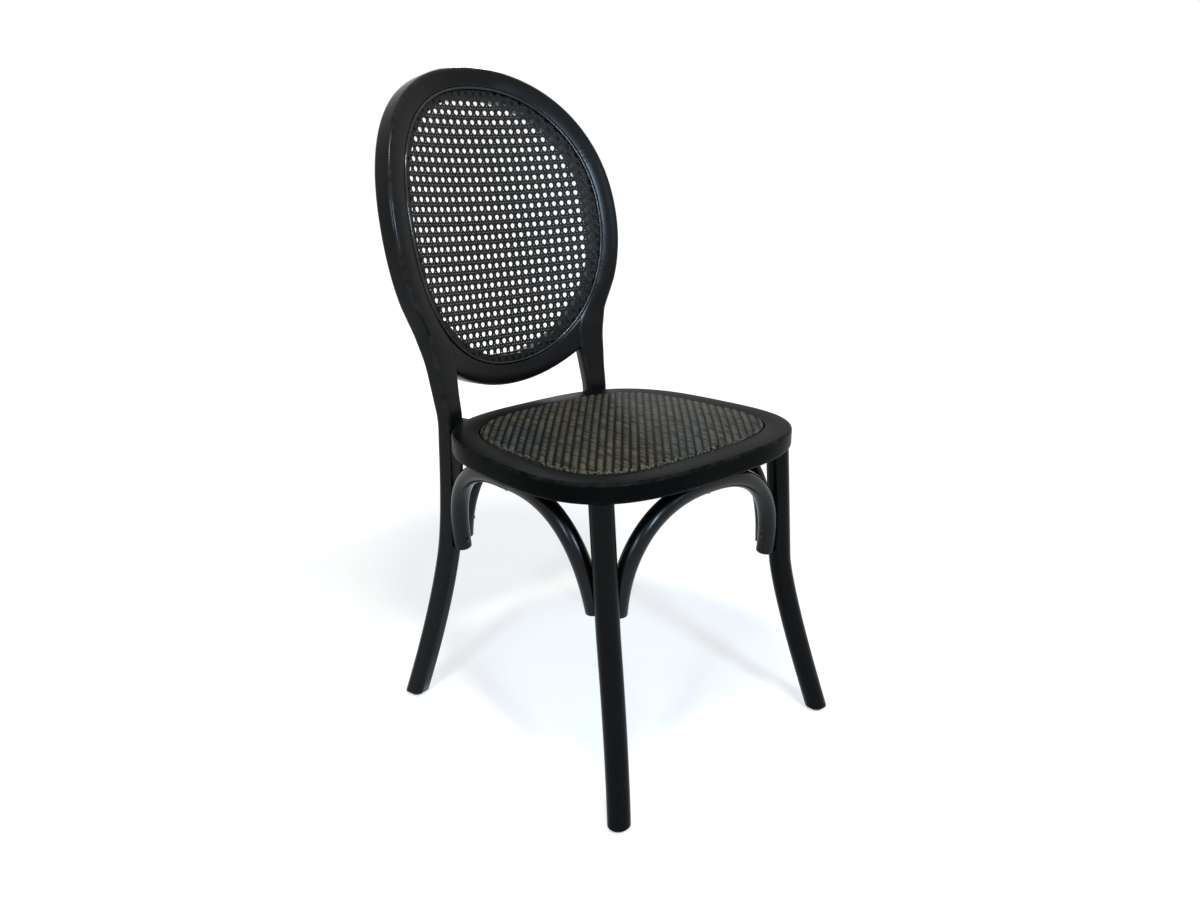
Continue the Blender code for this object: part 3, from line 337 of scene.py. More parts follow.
def tube_faces(rings, count, first=0, closed=False, open_start=False):
    """Faces between rings of points that lie one after another, and over the ends unless it closes."""
    faces = []
    for index in range(rings if closed else rings - 1):
        low = first + index * count
        high = first + (index + 1) % rings * count
        for k in range(count):
            after = (k + 1) % count
            faces.append((low + k, low + after, high + after, high + k))
    if not closed and not open_start:
        faces.append(tuple(range(first, first + count)))
    if not closed:
        faces.append(tuple(range(first + (rings - 1) * count, first + rings * count)))
    return faces


def new_mesh(name, verts, faces, **looks):
    """A mesh whose points carry values for the materials to read."""
    mesh = bpy.data.meshes.new(name)
    mesh.from_pydata(verts, [], faces)
    for key, values in looks.items():
        mesh.attributes.new(key, 'FLOAT', 'POINT').data.foreach_set("value", values)
    return mesh


def grid_mesh(name, sections, **ends):
    """A skin through rings of points, whose tight corners are marked for the wear and painted highlight
    along edges.
    """
    rings = [[Vector(point) for point in ring] for ring in sections]
    verts = [point for ring in rings for point in ring]
    edge = np.concatenate([corner_shares(ring) for ring in rings])
    return face_outward(new_mesh(name, verts, tube_faces(len(rings), len(rings[0]), **ends), edge=edge))


def new_object(data):
    """An object in the scene around a mesh, lamp or camera, under the same name."""
    item = bpy.data.objects.new(data.name, data)
    bpy.context.scene.collection.objects.link(item)
    return item


def boolean(item, cutter, operation='DIFFERENCE'):
    modifier = item.modifiers.new(cutter.name, 'BOOLEAN')
    modifier.operation = operation
    modifier.solver = 'EXACT'
    modifier.object = cutter


def baked(item):
    """The mesh that an object's modifiers make. The object is removed."""
    graph = bpy.context.evaluated_depsgraph_get()
    mesh = bpy.data.meshes.new_from_object(item.evaluated_get(graph))
    mesh.name = item.name
    bpy.data.objects.remove(item, do_unlink=True)
    return mesh


def add_piece(mesh, material, node, sharp=38):
    """Place a finished mesh in the frame as the piece that stands for a CAD node."""
    mesh.transform(Matrix.Translation((0, -BOX_MIDDLE_Y, 0)))
    mesh.materials.clear()
    mesh.materials.append(material)
    mesh.shade_smooth()
    mesh.set_sharp_from_angle(angle=radians(sharp))
    item = new_object(mesh)
    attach(item, "root")
    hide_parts(node)
    return item


# Shape of the seat frame


def seat_outline(angle):
    along = signed_power(sin(angle), 2 / SEAT_CORNER_POWER)
    half = blend(SEAT_HALF_WIDTH_FRONT, SEAT_HALF_WIDTH_REAR, (along + 1) / 2)
    return Vector((half * signed_power(cos(angle), 2 / SEAT_CORNER_POWER),
                   SEAT_CENTRE_Y + SEAT_HALF_DEPTH * along))


def seat_point(angle, inset=0.0):
    """A point of the seat's plan outline, moved in square to it."""
    return moved_square(seat_outline, angle, 0.002, inset)


def seat_angles(count):
    """Outline angles at even spacing along the seat's edge."""
    angles = np.arange(SEAT_OUTLINE_STEPS + 1) * 2 * pi / SEAT_OUTLINE_STEPS
    fine = [seat_point(angle) for angle in angles]
    lengths = np.concatenate(([0.0], np.cumsum([(high - low).length for low, high in zip(fine, fine[1:])])))
    return np.interp(np.arange(count) * lengths[-1] / count, lengths, angles)


def seat_frame_profile():
    """Section of the seat frame as (inset, height) pairs, from the outer side over the top."""
    profile = [(inset, SEAT_TOP - drop) for inset, drop in quarter(SEAT_TOP_ROUND, 7)]
    profile += [(SEAT_FRAME_FACE - back, SEAT_TOP - drop)
                for drop, back in quarter(SEAT_INNER_ROUND, ROUND_STEPS)]
    ledge_end = SEAT_FRAME_FACE + SEAT_LEDGE_WIDTH
    profile += [(SEAT_FRAME_FACE, SEAT_LEDGE_TOP), (ledge_end, SEAT_LEDGE_TOP)]
    profile.append((ledge_end, SEAT_FRAME_BOTTOM))
    profile += [(inset, SEAT_FRAME_BOTTOM + drop)
                for inset, drop in quarter(SEAT_BOTTOM_ROUND, 4, pi / 2, -pi / 2)]
    return profile


# Shape of the back


def back_point(across, up, proud=0.0):
    """A point of the cane's surface, or in front of it by a distance."""
    return Vector(back_points(across, up, proud))


def back_points(across, up, proud):
    """The same for arrays of places."""
    turn = across / BACK_CROSS_RADIUS
    forward = BACK_CROSS_RADIUS * (1 - np.cos(turn)) - BACK_BOW * up * up + proud
    return np.stack((BACK_CROSS_RADIUS * np.sin(turn),
                     BACK_MID_Y + up * sin(BACK_RECLINE) - forward * cos(BACK_RECLINE),
                     BACK_MID_Z + up * cos(BACK_RECLINE) + forward * sin(BACK_RECLINE)), axis=-1)


def lip_outline(angle):
    return Vector((LIP_HALF_WIDTH * signed_power(sin(angle), 2 / LIP_POWER),
                   LIP_CENTRE_UP + LIP_HALF_HEIGHT * signed_power(cos(angle), 2 / LIP_POWER)))


def lip_point(angle, offset=0.0):
    """A point (across, up) of the opening's oval, angle 0 at the top, moved out square to it."""
    return moved_square(lip_outline, angle, 0.004, offset)


def rebate_cutter():
    """Fills the oval from the ledge forward, flared at the lip so that it leaves a rounded edge."""
    floor = HOOP_FACE_PROUD - REBATE_DEPTH
    lip = quarter(LIP_ROUND, LIP_ROUND_STEPS, turn=LIP_ROUND_REACH)
    wall = [(0.0, floor)] + [(offset, HOOP_FACE_PROUD - drop) for offset, drop in lip]
    slope = tan(pi / 2 - LIP_ROUND_REACH)
    wall.append((wall[-1][0] + REBATE_FLARE, wall[-1][1] + REBATE_FLARE * slope))
    wall.append((wall[-1][0], REBATE_CUT_TO))
    shares = [k / REBATE_RINGS for k in range(1, REBATE_RINGS)]
    sections = [(share, floor, 0.0) for share in shares]
    sections += [(1.0, proud, offset) for offset, proud in wall]
    sections += [(share, wall[-1][1], wall[-1][0]) for share in shares[::-1]]
    rings = []
    for share, proud, offset in sections:
        points = [lip_point(2 * pi * k / LIP_POINTS, offset) for k in range(LIP_POINTS)]
        rings.append([back_point(point.x * share, LIP_CENTRE_UP + (point.y - LIP_CENTRE_UP) * share, proud)
                      for point in points])
    return new_object(grid_mesh("rebate_cutter", rings))


def rearward_of(turn, along):
    """The back's rearward direction at a turn, made square to another direction."""
    rearward = Vector((sin(turn), cos(turn) * cos(BACK_RECLINE), -cos(turn) * sin(BACK_RECLINE)))
    return (rearward - along * rearward.dot(along)).normalized()


def hoop_axes(ahead, turn):
    """The outward and rearward directions of the hoop's section."""
    rearward = rearward_of(turn, ahead)
    return ahead.cross(rearward).normalized(), rearward


def rounded_section(centre, outward, rearward, width, depth, corner, least_front=0.0, steps=8):
    """Points of a rectangle with rounded corners. The outer front one reaches across by a least width."""
    points = []
    for sector, sign_out, sign_rear in ((0, 1, 1), (1, -1, 1), (2, -1, -1), (3, 1, -1)):
        across = max(corner, least_front) if sector == 3 else corner
        for k in range(steps + 1):
            angle = pi / 2 * (sector + k / steps)
            points.append(centre
                          + outward * (sign_out * (width / 2 - across) + cos(angle) * across)
                          + rearward * (sign_rear * (depth / 2 - corner) + sin(angle) * corner))
    return points


def flared(top, bend, foot, height, top_height, bend_height, flare, bow=1.0):
    """Plan position of a leg at a height: down to its bend, then swept out to its foot."""
    if height >= bend_height:
        share = (top_height - height) / (top_height - bend_height)
        return top + (bend - top) * signed_power(share, bow)
    slope = bow * (bend - top) / (top_height - bend_height)
    share = (bend_height - height) / (bend_height - GLIDE_HEIGHT)
    return bend + slope * (bend_height - height) * (1 - share) + (foot - bend) * share ** flare


def leg_place(plan, height, *form):
    return Vector((*(flared(*places, height, *form) for places in zip(*plan)), height))


def front_leg_place(height):
    return leg_place(FRONT_LEG_PLAN, height, SEAT_FRAME_BOTTOM, FRONT_LEG_BEND_HEIGHT, FRONT_LEG_FLARE_POWER)


def front_leg_radius(height):
    share = (height - GLIDE_HEIGHT) / (SEAT_FRAME_BOTTOM - GLIDE_HEIGHT)
    return blend(FRONT_LEG_RADIUS_FOOT, FRONT_LEG_RADIUS_TOP, share)


def rear_leg_place(height):
    return leg_place(REAR_LEG_PLAN, height, SEAT_TOP, REAR_LEG_BEND_HEIGHT, REAR_LEG_FLARE_POWER,
                     REAR_LEG_BOW_POWER)


def oval_stations():
    """Stations from the top of the hoop round half its oval: place, width, depth, turn, corner."""
    stations = []
    for k in range(HOOP_STATIONS + 1):
        angle = HOOP_OVAL_END * k / HOOP_STATIONS
        edge = lip_point(angle)
        edge.x = max(edge.x, 0.0)
        share = smooth_step(edge.x / HOOP_TURN_REACH)
        turn = HOOP_TURN * share
        width = blend(TOP_WIDTH, HOOP_WIDTH, share)
        ahead = back_point(*lip_point(angle + 0.01)) - back_point(*lip_point(angle - 0.01))
        outward, rearward = hoop_axes(ahead.normalized(), turn)
        face = back_point(edge.x, edge.y, HOOP_FACE_PROUD)
        centre = face + outward * (width / 2 - LEDGE_WIDTH) + rearward * (HOOP_DEPTH / 2)
        stations.append((*centre, width, HOOP_DEPTH, turn, HOOP_CORNER))
    return stations


def post_stations():
    """Stations on from the oval, down the post to the foot."""
    stations = []

    def add(spot, width, depth, corner=HOOP_CORNER):
        stations.append((*spot, width, depth, HOOP_TURN, corner))

    at_rail = (*POST_AT_RAIL, HEIGHT_AT_RAIL)
    add([at + move for at, move in zip(at_rail, SHOULDER_FROM_RAIL)], HOOP_WIDTH,
        blend(HOOP_DEPTH, POST_DEPTH, DEPTH_SHARE_AT_SHOULDER))
    add(at_rail, POST_WIDTH_AT_RAIL, blend(HOOP_DEPTH, POST_DEPTH, DEPTH_SHARE_AT_RAIL))
    for share in POST_SHARES:
        add([blend(high, low, share) for high, low in zip(at_rail, (*POST_AT_SEAT, SEAT_TOP))],
            blend(POST_WIDTH_AT_RAIL, POST_WIDTH_AT_SEAT, smooth_step(share)), POST_DEPTH)
    for share in LEG_SHAPING_SHARES:
        change = smooth_step(share)
        add(rear_leg_place(SEAT_TOP - LEG_SHAPING_LENGTH * share),
            blend(POST_WIDTH_AT_SEAT, REAR_LEG_SIZE, change), blend(POST_DEPTH, REAR_LEG_SIZE, change),
            blend(HOOP_CORNER, REAR_LEG_CORNER, change))
    low = SEAT_TOP - LEG_SHAPING_LENGTH
    for k in range(1, LEG_STATIONS + 1):
        add(rear_leg_place(blend(low, GLIDE_HEIGHT, k / LEG_STATIONS)), REAR_LEG_SIZE, REAR_LEG_SIZE,
            REAR_LEG_CORNER)
    return stations


def flatten_end(ring, along, height):
    """Slide a ring's points along a direction until they lie at a height."""
    return [point + along * ((height - point.z) / along.z) for point in ring]


def foot_rings(ring, along, share, middle=None):
    """A leg's level end just above its glide, and a smaller ring on the glide."""
    end = flatten_end(ring, along, GLIDE_HEIGHT + FOOT_ROUND)
    if middle is None:
        middle = sum(end, Vector()) / len(end)
    return [end, flatten_end([blend(middle, point, share) for point in end], along, GLIDE_HEIGHT)]


def hoop_mesh():
    """The whole hoop with both rear legs."""
    path = through(oval_stations() + post_stations(), PATH_STEPS)
    shoulder = (HOOP_STATIONS + 1) * PATH_STEPS
    path = eased(path, shoulder - 2 * PATH_STEPS, shoulder + 2 * PATH_STEPS, SHOULDER_PASSES)
    path = path[:-FOOT_CLEAR_STEPS - 1] + path[-1:]
    places = [Vector(values[:3]) for values in path]
    sections = []
    for k, values in enumerate(path):
        ahead = heading(places, k) if k else Vector((1, 0, 0))
        width, depth, turn, corner = values[3:]
        outward, rearward = hoop_axes(ahead, turn)
        ring = rounded_section(places[k], outward, rearward, width, depth, corner, HOOP_CORNER)
        if k == 0:
            for point in ring:
                point.x = 0.0
        sections.append(ring)
    sections[-1:] = foot_rings(ring, ahead, 1 - 2 * FOOT_ROUND / REAR_LEG_SIZE, places[-1])
    item = new_object(grid_mesh("back_hoop_piece", sections, open_start=True))
    mirror = item.modifiers.new("mirror", 'MIRROR')
    mirror.use_axis[0] = True
    mirror.merge_threshold = 0.0001
    return item


def rail_edge(across):
    """Height of the rail's lower edge at a place across the back."""
    low = LIP_CENTRE_UP - LIP_HALF_HEIGHT - RAIL_FACE
    return low + RAIL_EDGE_RADIUS - sqrt(RAIL_EDGE_RADIUS ** 2 - across ** 2)


def rail_mesh():
    sections = []
    inner_half = LIP_HALF_WIDTH - LEDGE_WIDTH
    inner_height = LIP_HALF_HEIGHT - LEDGE_WIDTH
    level = HOOP_FACE_PROUD - HOOP_DEPTH / 2
    for k in range(RAIL_STATIONS):
        across = RAIL_REACH * (-1 + 2 * k / (RAIL_STATIONS - 1))
        inner_across = across * RAIL_INNER_SPREAD
        sag = (1 - abs(inner_across / inner_half) ** LIP_POWER) ** (1 / LIP_POWER)
        inner = Vector((inner_across, LIP_CENTRE_UP - inner_height * sag))
        outer = Vector((across * RAIL_OUTER_SPREAD, rail_edge(across * RAIL_OUTER_SPREAD)))
        middle = (inner + outer) / 2
        centre = back_point(middle.x, middle.y, level)
        low = back_point(outer.x, outer.y, level)
        outward = (low - back_point(inner.x, inner.y, level)).normalized()
        turn = copysign(HOOP_TURN * smooth_step(abs(middle.x) / HOOP_TURN_REACH), middle.x)
        sections.append(rounded_section(centre, outward, rearward_of(turn, outward),
                                        (outer - inner).length, HOOP_DEPTH, HOOP_CORNER))
    return new_object(grid_mesh("back_lower_rail_piece", sections))


# Shape of legs and braces


def circle(centre, across, other, radius, sides):
    turns = [2 * pi * n / sides for n in range(sides)]
    return [centre + (across * cos(turn) + other * sin(turn)) * radius for turn in turns]


def round_sections(path, radius, sides, start_round=0.0, end_round=0.0):
    """Rings square to a path, drawn in at rounded ends. The radius may be a function of the place."""
    places = [Vector(point) for point in path]
    radius_at = radius if callable(radius) else lambda point: radius
    sections = []
    across = heading(places, 0).orthogonal()
    for k, centre in enumerate(places):
        ahead = heading(places, k)
        across = (across - ahead * across.dot(ahead)).normalized()
        other = ahead.cross(across)
        insets = [(0.0, 0.0)]
        if k == 0 and start_round:
            insets = [(inset, shift) for shift, inset in quarter(start_round, ROUND_STEPS)]
        if k == len(places) - 1 and end_round:
            insets = [(inset, -shift) for inset, shift in quarter(end_round, ROUND_STEPS)]
        for inset, shift in insets:
            sections.append(circle(centre + ahead * shift, across, other, radius_at(centre) - inset, sides))
    return sections


def front_leg_mesh(label, side):
    """A front leg, whose top meets the seat frame level and whose foot is level too."""
    start = SEAT_FRAME_BOTTOM - FIT_GAP
    shares = [k / FRONT_LEG_RINGS for k in range(FRONT_LEG_RINGS + 1)]
    path = [front_leg_place(blend(start, GLIDE_HEIGHT, share)) for share in shares]
    sections = round_sections(path, lambda point: front_leg_radius(point.z), FRONT_LEG_SIDES,
                              end_round=FOOT_ROUND)
    sections = [[Vector((side * point.x, point.y, point.z)) for point in ring] for ring in sections]
    top = [Vector((point.x, point.y, start)) for point in sections[0]]
    ends = ROUND_STEPS + 1
    down = (sections[-1][0] - sections[-1 - ends][0]).normalized()
    foot = foot_rings(sections[-ends], down, FRONT_FOOT_SHARE)
    return grid_mesh("front_leg_" + label + "_piece", [top] + sections[1:-1 - ends] + foot)


def arch_half_width(height, spring, power):
    """Share of an arch's full half width at a height."""
    if height <= spring:
        return 1.0
    share = (height - spring) / (ARCH_APEX - spring)
    return max(0.0, 1 - share ** power) ** (1 / power)


def arch_path(start, end, lean, spring, power):
    """Centre line from one end up over the arch and down to the other end."""
    middle = (start + end) / 2
    along = (end - start) / 2
    flat = Vector((along.x, along.y, 0.0))
    sideways = Vector((along.y, -along.x, 0.0)).normalized()
    points = [start.copy()]
    for k in range(ARCH_STATIONS + 1):
        angle = pi * k / ARCH_STATIONS
        across = -cos(angle)
        limit = start.z if across < 0 else end.z
        height = spring + (ARCH_APEX - spring) * abs(sin(angle)) ** (2 / power)
        if height < limit + ARCH_RADIUS / 3:
            continue
        offset = signed_power(across, 2 / power) / arch_half_width(limit, spring, power)
        spot = middle + flat * offset + sideways * (lean * (height - limit))
        points.append(Vector((spot.x, spot.y, height)))
    points.append(end.copy())
    return points


def beside(leg, radius, bearing, height):
    """Where an arch's end stands beside a leg: a bearing from inward towards the middle of the chair."""
    reach = radius + ARCH_RADIUS - ARCH_COPE
    forward = 1 if leg.y < 0 else -1
    return Vector((leg.x - cos(bearing) * reach, leg.y + forward * sin(bearing) * reach, height))


def flip(point):
    return Vector((-point.x, point.y, point.z))


def arch_layout():
    """Ends, lean and shape of the four braces."""
    def front_end(bearing, height):
        return beside(front_leg_place(height), front_leg_radius(height), bearing, height)

    def rear_end(bearing, height):
        return beside(rear_leg_place(height), REAR_LEG_SIZE / 2, bearing, height)

    front = front_end(*FRONT_ARCH_END)
    rear = rear_end(*REAR_ARCH_END)
    side_front = front_end(*SIDE_ARCH_FRONT_END)
    side_rear = rear_end(*SIDE_ARCH_REAR_END)
    return {
        "front": (flip(front), front, FRONT_ARCH_LEAN, *CROSS_ARCH_FORM),
        "rear": (rear, flip(rear), REAR_ARCH_LEAN, *CROSS_ARCH_FORM),
        "left": (side_front, side_rear, SIDE_ARCH_LEAN, *SIDE_ARCH_FORM),
        "right": (flip(side_rear), flip(side_front), SIDE_ARCH_LEAN, *SIDE_ARCH_FORM),
    }


# Cane


def inside_oval(across, up):
    """Whether places lie in the oval that the cane fills."""
    wide = np.abs(across) / (LIP_HALF_WIDTH - CANE_EDGE_INSET)
    high = np.abs(up - LIP_CENTRE_UP) / (LIP_HALF_HEIGHT - CANE_EDGE_INSET)
    return wide ** LIP_POWER + high ** LIP_POWER < 1


def over_under(phase):
    """Height of a strand that passes over and under in turn."""
    return CANE_WEAVE_RISE * np.clip(CANE_WEAVE_SLOPE * np.sin(phase), -1, 1)


def cane_strand(sheet, start, direction, pitch, wave, tone):
    """Add a flat strand across the oval, trimmed to it. Its wave is a sign, a rate and a phase."""
    verts, faces, tones = sheet
    unit = np.array(direction) / hypot(*direction)
    t = np.arange(-CANE_REACH, CANE_REACH, pitch / CANE_STEPS_PER_PITCH)
    placed = (np.array(start) + unit * t[:, None]) @ CANE_TURN.T
    keep = inside_oval(placed[:, 0], placed[:, 1])
    if keep.sum() < 3:
        return
    placed = placed[keep]
    side = np.array((-unit[1], unit[0])) @ CANE_TURN.T
    sign, rate, phase = wave
    rise = sign * over_under(t[keep] * rate + phase)
    lines = []
    for offset, lift in STRAND_SECTION:
        spot = placed + side * (offset * CANE_STRAND_WIDTH / 2)
        lines.append(back_points(spot[:, 0], spot[:, 1], rise + lift * CANE_STRAND_THICKNESS))
    points = np.stack(lines, axis=1).reshape(-1, 3).tolist()
    faces.extend(tube_faces(len(placed), len(STRAND_SECTION), len(verts)))
    verts.extend(points)
    tones.extend([tone] * len(points))


def cane_mesh():
    """Pairs of strands up and across, woven, and a diagonal each way past the corners of each hole."""
    sheet = ([], [], [])
    shade = np.random.default_rng(CANE_SEED)
    pitches = (CANE_PITCH_ACROSS, CANE_PITCH_UP)
    phases = ((CANE_PHASE_ACROSS + 0.5) * CANE_PITCH_ACROSS, 0.5 * CANE_PITCH_UP)
    for axis, count, lead in ((0, CANE_COLUMNS, 1), (1, CANE_ROWS, -1)):
        sideways, onward = np.eye(2)[axis], np.eye(2)[1 - axis]
        rate = 2 * pi / pitches[1 - axis]
        for k in range(-count, count + 1):
            for sign in (-1, 1):
                start = sideways * (phases[axis] + k * pitches[axis] + sign * CANE_PAIR_OFFSET)
                cane_strand(sheet, start, onward, pitches[1 - axis],
                            (lead * sign, rate, -rate * phases[1 - axis]), shade.uniform(0, 1))
    rate = 4 * pi / hypot(*pitches)
    for slope in (1, -1):
        for k in range(-CANE_DIAGONALS, CANE_DIAGONALS + 1):
            start = (phases[0] + (k + 0.5) * CANE_PITCH_ACROSS, phases[1])
            cane_strand(sheet, start, (CANE_PITCH_ACROSS, slope * CANE_PITCH_UP), CANE_PITCH_UP,
                        (slope, rate, pi / 4), shade.uniform(0, 1))
    verts, faces, tones = sheet
    return new_mesh("cane_panel_piece", verts, faces, tone=tones)


def spline_mesh():
    """The bead that holds the cane, round the oval just inside the lip."""
    level = CANE_THICKNESS / 2 + FIT_GAP + SPLINE_RADIUS
    turns = [2 * pi * k / SPLINE_POINTS for k in range(SPLINE_POINTS)]
    spots = [back_point(*lip_point(turn, -(SPLINE_RADIUS + FIT_GAP)), level) for turn in turns]
    rings = []
    for k, spot in enumerate(spots):
        ahead = (spots[(k + 1) % SPLINE_POINTS] - spots[k - 1]).normalized()
        rear = rearward_of(0, ahead)
        rings.append(circle(spot, ahead.cross(rear), rear, SPLINE_RADIUS, SPLINE_SIDES))
    return grid_mesh("cane_spline_piece", rings, closed=True)


# Pad


def pad_plan(count):
    """Plan of the pad as a square grid bent on to its outline.

    Gives x and y, the share of the way out from the middle, and the distance to the edge.
    """
    angles = np.linspace(0, 2 * pi, SEAT_OUTLINE_STEPS + 1)
    outline = np.array([seat_point(angle, SEAT_FRAME_FACE + PAD_GAP) for angle in angles])
    outline[:, 1] -= SEAT_CENTRE_Y
    bearing = np.arctan2(outline[:, 1], outline[:, 0]) % (2 * pi)
    reach = np.hypot(outline[:, 0], outline[:, 1])
    line = np.linspace(-1, 1, count)
    a, b = np.meshgrid(line, line, indexing="xy")
    share = np.maximum(np.abs(a), np.abs(b))
    half_width = (SEAT_HALF_WIDTH_FRONT + SEAT_HALF_WIDTH_REAR) / 2 - SEAT_FRAME_FACE
    half_depth = SEAT_HALF_DEPTH - SEAT_FRAME_FACE
    turn = np.arctan2(b * half_depth, a * half_width)
    radius = np.interp(turn % (2 * pi), bearing, reach, period=2 * pi)
    return radius * share * np.cos(turn), radius * share * np.sin(turn), share, radius * (1 - share)


def grid_faces(count):
    index = np.arange(count * count).reshape(count, count)
    return np.stack((index[:-1, :-1], index[:-1, 1:], index[1:, 1:], index[1:, :-1]), axis=-1).reshape(-1, 4)


def stuff(item, rim):
    """Give a flat cloth the cloth simulation of a stuffed cover, with some of its points held."""
    held = item.vertex_groups.new(name="rim")
    held.add(rim, 1.0, 'REPLACE')
    cloth = item.modifiers.new("stuffing", 'CLOTH')
    for key, value in PAD_CLOTH.items():
        setattr(cloth.settings, key, value)
    cloth.settings.effector_weights.gravity = 0
    cloth.point_cache.frame_start = 1
    cloth.point_cache.frame_end = PAD_FRAMES


def stuffed_crown():
    """Height of the cover from 0 to 1, as stuffing under it pushes up a cloth that is held at its rim."""
    x, y, share, _ = pad_plan(PAD_CLOTH_GRID)
    start = 1 - share ** PAD_CROWN_POWER
    flat = np.stack((x, y, PAD_CROWN * PAD_CLOTH_START * start), axis=-1).reshape(-1, 3)
    item = new_object(new_mesh("pad_cloth", flat.tolist(), grid_faces(PAD_CLOTH_GRID).tolist()))
    stuff(item, [int(k) for k in np.flatnonzero(share.reshape(-1) > 0.999)])
    for step in range(1, PAD_FRAMES + 1):
        bpy.context.scene.frame_set(step)
    swollen = baked(item)
    rise = np.empty(len(flat) * 3)
    swollen.vertices.foreach_get("co", rise)
    bpy.context.scene.frame_set(1)
    rise = np.clip(rise.reshape(-1, 3)[:, 2], 0, None)
    return (rise / rise.max()).reshape(PAD_CLOTH_GRID, PAD_CLOTH_GRID)


def finer(values, count):
    """A square grid of values at a finer count."""
    old = np.linspace(0, 1, values.shape[0])
    new = np.linspace(0, 1, count)
    for _ in range(2):
        values = np.array([np.interp(new, old, line) for line in values]).T
    return values


def weave(x, y):
    """Relief of the twill cover, the tone of the strand on top and how high it stands from 0 to 1."""
    tones = np.random.default_rng(PAD_SEED).uniform(0, 1, PAD_TONES)

    def height(place, line, rise):
        arc = 1 - np.abs(2 * (place - line) - 1) ** PAD_STRAND_POWER
        return PAD_STRAND_RELIEF * arc + PAD_FLOAT_RELIEF * rise

    def tone(line, place, steps):
        stretch = np.floor(place / PAD_FLOAT_LENGTH)
        return tones[(line * steps[0] + stretch * steps[1]).astype(int) % PAD_TONES]

    u = x / PAD_STRAND_PITCH
    v = y / PAD_STRAND_PITCH
    column = np.floor(u)
    row = np.floor(v)
    warp = height(u, column, np.cos((column + 0.5 - v) * pi / 2) + PAD_WARP_LEAD)
    weft = height(v, row, -np.cos((u - row - 0.5) * pi / 2) - PAD_WARP_LEAD)
    top = np.maximum(warp, weft) + PAD_RIB_RELIEF * np.abs(np.cos((u - v) * pi / 4)) ** PAD_RIB_POWER
    warp_tone = PAD_WEFT_TONE + (1 - PAD_WEFT_TONE) * tone(column, v - column + 1.5, PAD_WARP_SPREAD)
    weft_tone = PAD_WEFT_TONE * tone(row, u - row + 3.5, PAD_WEFT_SPREAD)
    full = PAD_STRAND_RELIEF + PAD_FLOAT_RELIEF * (1 + PAD_WARP_LEAD) + PAD_RIB_RELIEF
    return top, np.where(warp > weft, warp_tone, weft_tone), np.clip(top / full, 0, 1)


def pad_top():
    """Points of the pad's woven top, and the values that its material reads there."""
    x, y, share, edge_distance = pad_plan(PAD_GRID)
    crown = finer(stuffed_crown(), PAD_GRID) ** PAD_FULLNESS
    fall = np.clip(edge_distance / PAD_EDGE_ROUND, 0, 1)
    edge = PAD_EDGE_ROUND * (1 - np.sqrt(np.clip(1 - (1 - fall) ** 2, 0, 1)))
    relief, tone, lift = weave(x, y)
    z = PAD_EDGE_TOP + PAD_CROWN * crown - edge + relief * np.clip(edge_distance / PAD_RELIEF_FADE, 0, 1)
    points = np.stack((x, y + SEAT_CENTRE_Y, np.maximum(z, PAD_BASE)), axis=-1).reshape(-1, 3)
    return points, {"tone": tone, "lift": lift, "rim": np.clip(1 - edge_distance / PAD_RIM, 0, 1)}


def pad_mesh():
    """Crowned pad in a twill cover, whose ribs slant across the seat, closed by a wall and a floor."""
    verts, looks = pad_top()
    index = np.arange(PAD_GRID * PAD_GRID).reshape(PAD_GRID, PAD_GRID)
    rim = np.concatenate((index[0, :-1], index[:-1, -1], index[-1, :0:-1], index[:0:-1, 0]))
    low = verts[rim].copy()
    low[:, 2] = PAD_BASE
    first = len(verts)
    wall = [(int(rim[k]), int(rim[(k + 1) % len(rim)]), first + (k + 1) % len(rim), first + k)
            for k in range(len(rim))]
    floor = [tuple(range(first, first + len(rim)))]
    looks = {key: np.concatenate((values.reshape(-1), np.zeros(len(rim)))) for key, values in looks.items()}
    return face_outward(new_mesh("seat_pad_piece", np.concatenate((verts, low)).tolist(),
                                 grid_faces(PAD_GRID).tolist() + wall + floor, **looks))


# Shader nodes


def nodes_of(name):
    material = bpy.data.materials.new(name)
    material.use_nodes = True
    tree = material.node_tree
    tree.nodes.clear()
    return material, tree


def plug(tree, socket, value):
    """Link a socket, or set its plain value, which may be a colour of three numbers."""
    if isinstance(value, bpy.types.NodeSocket):
        tree.links.new(value, socket)
    elif socket.type == 'RGBA':
        socket.default_value = (*value, 1.0)
    else:
        socket.default_value = value


def add_node(tree, kind, settings=None, **inputs):
    """A shader node with settings, and inputs by name with underscores for spaces."""
    item = tree.nodes.new("ShaderNode" + kind)
    for key, value in (settings or {}).items():
        setattr(item, key, value)
    for key, value in inputs.items():
        plug(tree, item.inputs[key.replace("_", " ")], value)
    return item


def object_place(tree, scale=(1, 1, 1)):
    place = add_node(tree, 'TexCoord').outputs["Object"]
    return add_node(tree, 'Mapping', Vector=place, Scale=scale).outputs["Vector"]


def attribute(tree, name):
    return add_node(tree, 'Attribute', {"attribute_name": name}).outputs["Fac"]


def noise(tree, place, scale, detail=3.0, roughness=0.55):
    return add_node(tree, 'TexNoise', Vector=place, Scale=scale, Detail=detail,
                    Roughness=roughness).outputs["Fac"]


def spread(tree, value, low, high, to_low=0.0, to_high=1.0):
    """Map a range of a value on to another range."""
    return add_node(tree, 'MapRange', {"clamp": True}, Value=value, From_Min=low, From_Max=high,
                    To_Min=to_low, To_Max=to_high).outputs["Result"]


def between(tree, share, low, high):
    """Mix of two colours, each a colour or a socket."""
    item = add_node(tree, 'Mix', {"data_type": 'RGBA'})
    for place, value in ((0, share), (6, low), (7, high)):
        plug(tree, item.inputs[place], value)
    return item.outputs[2]


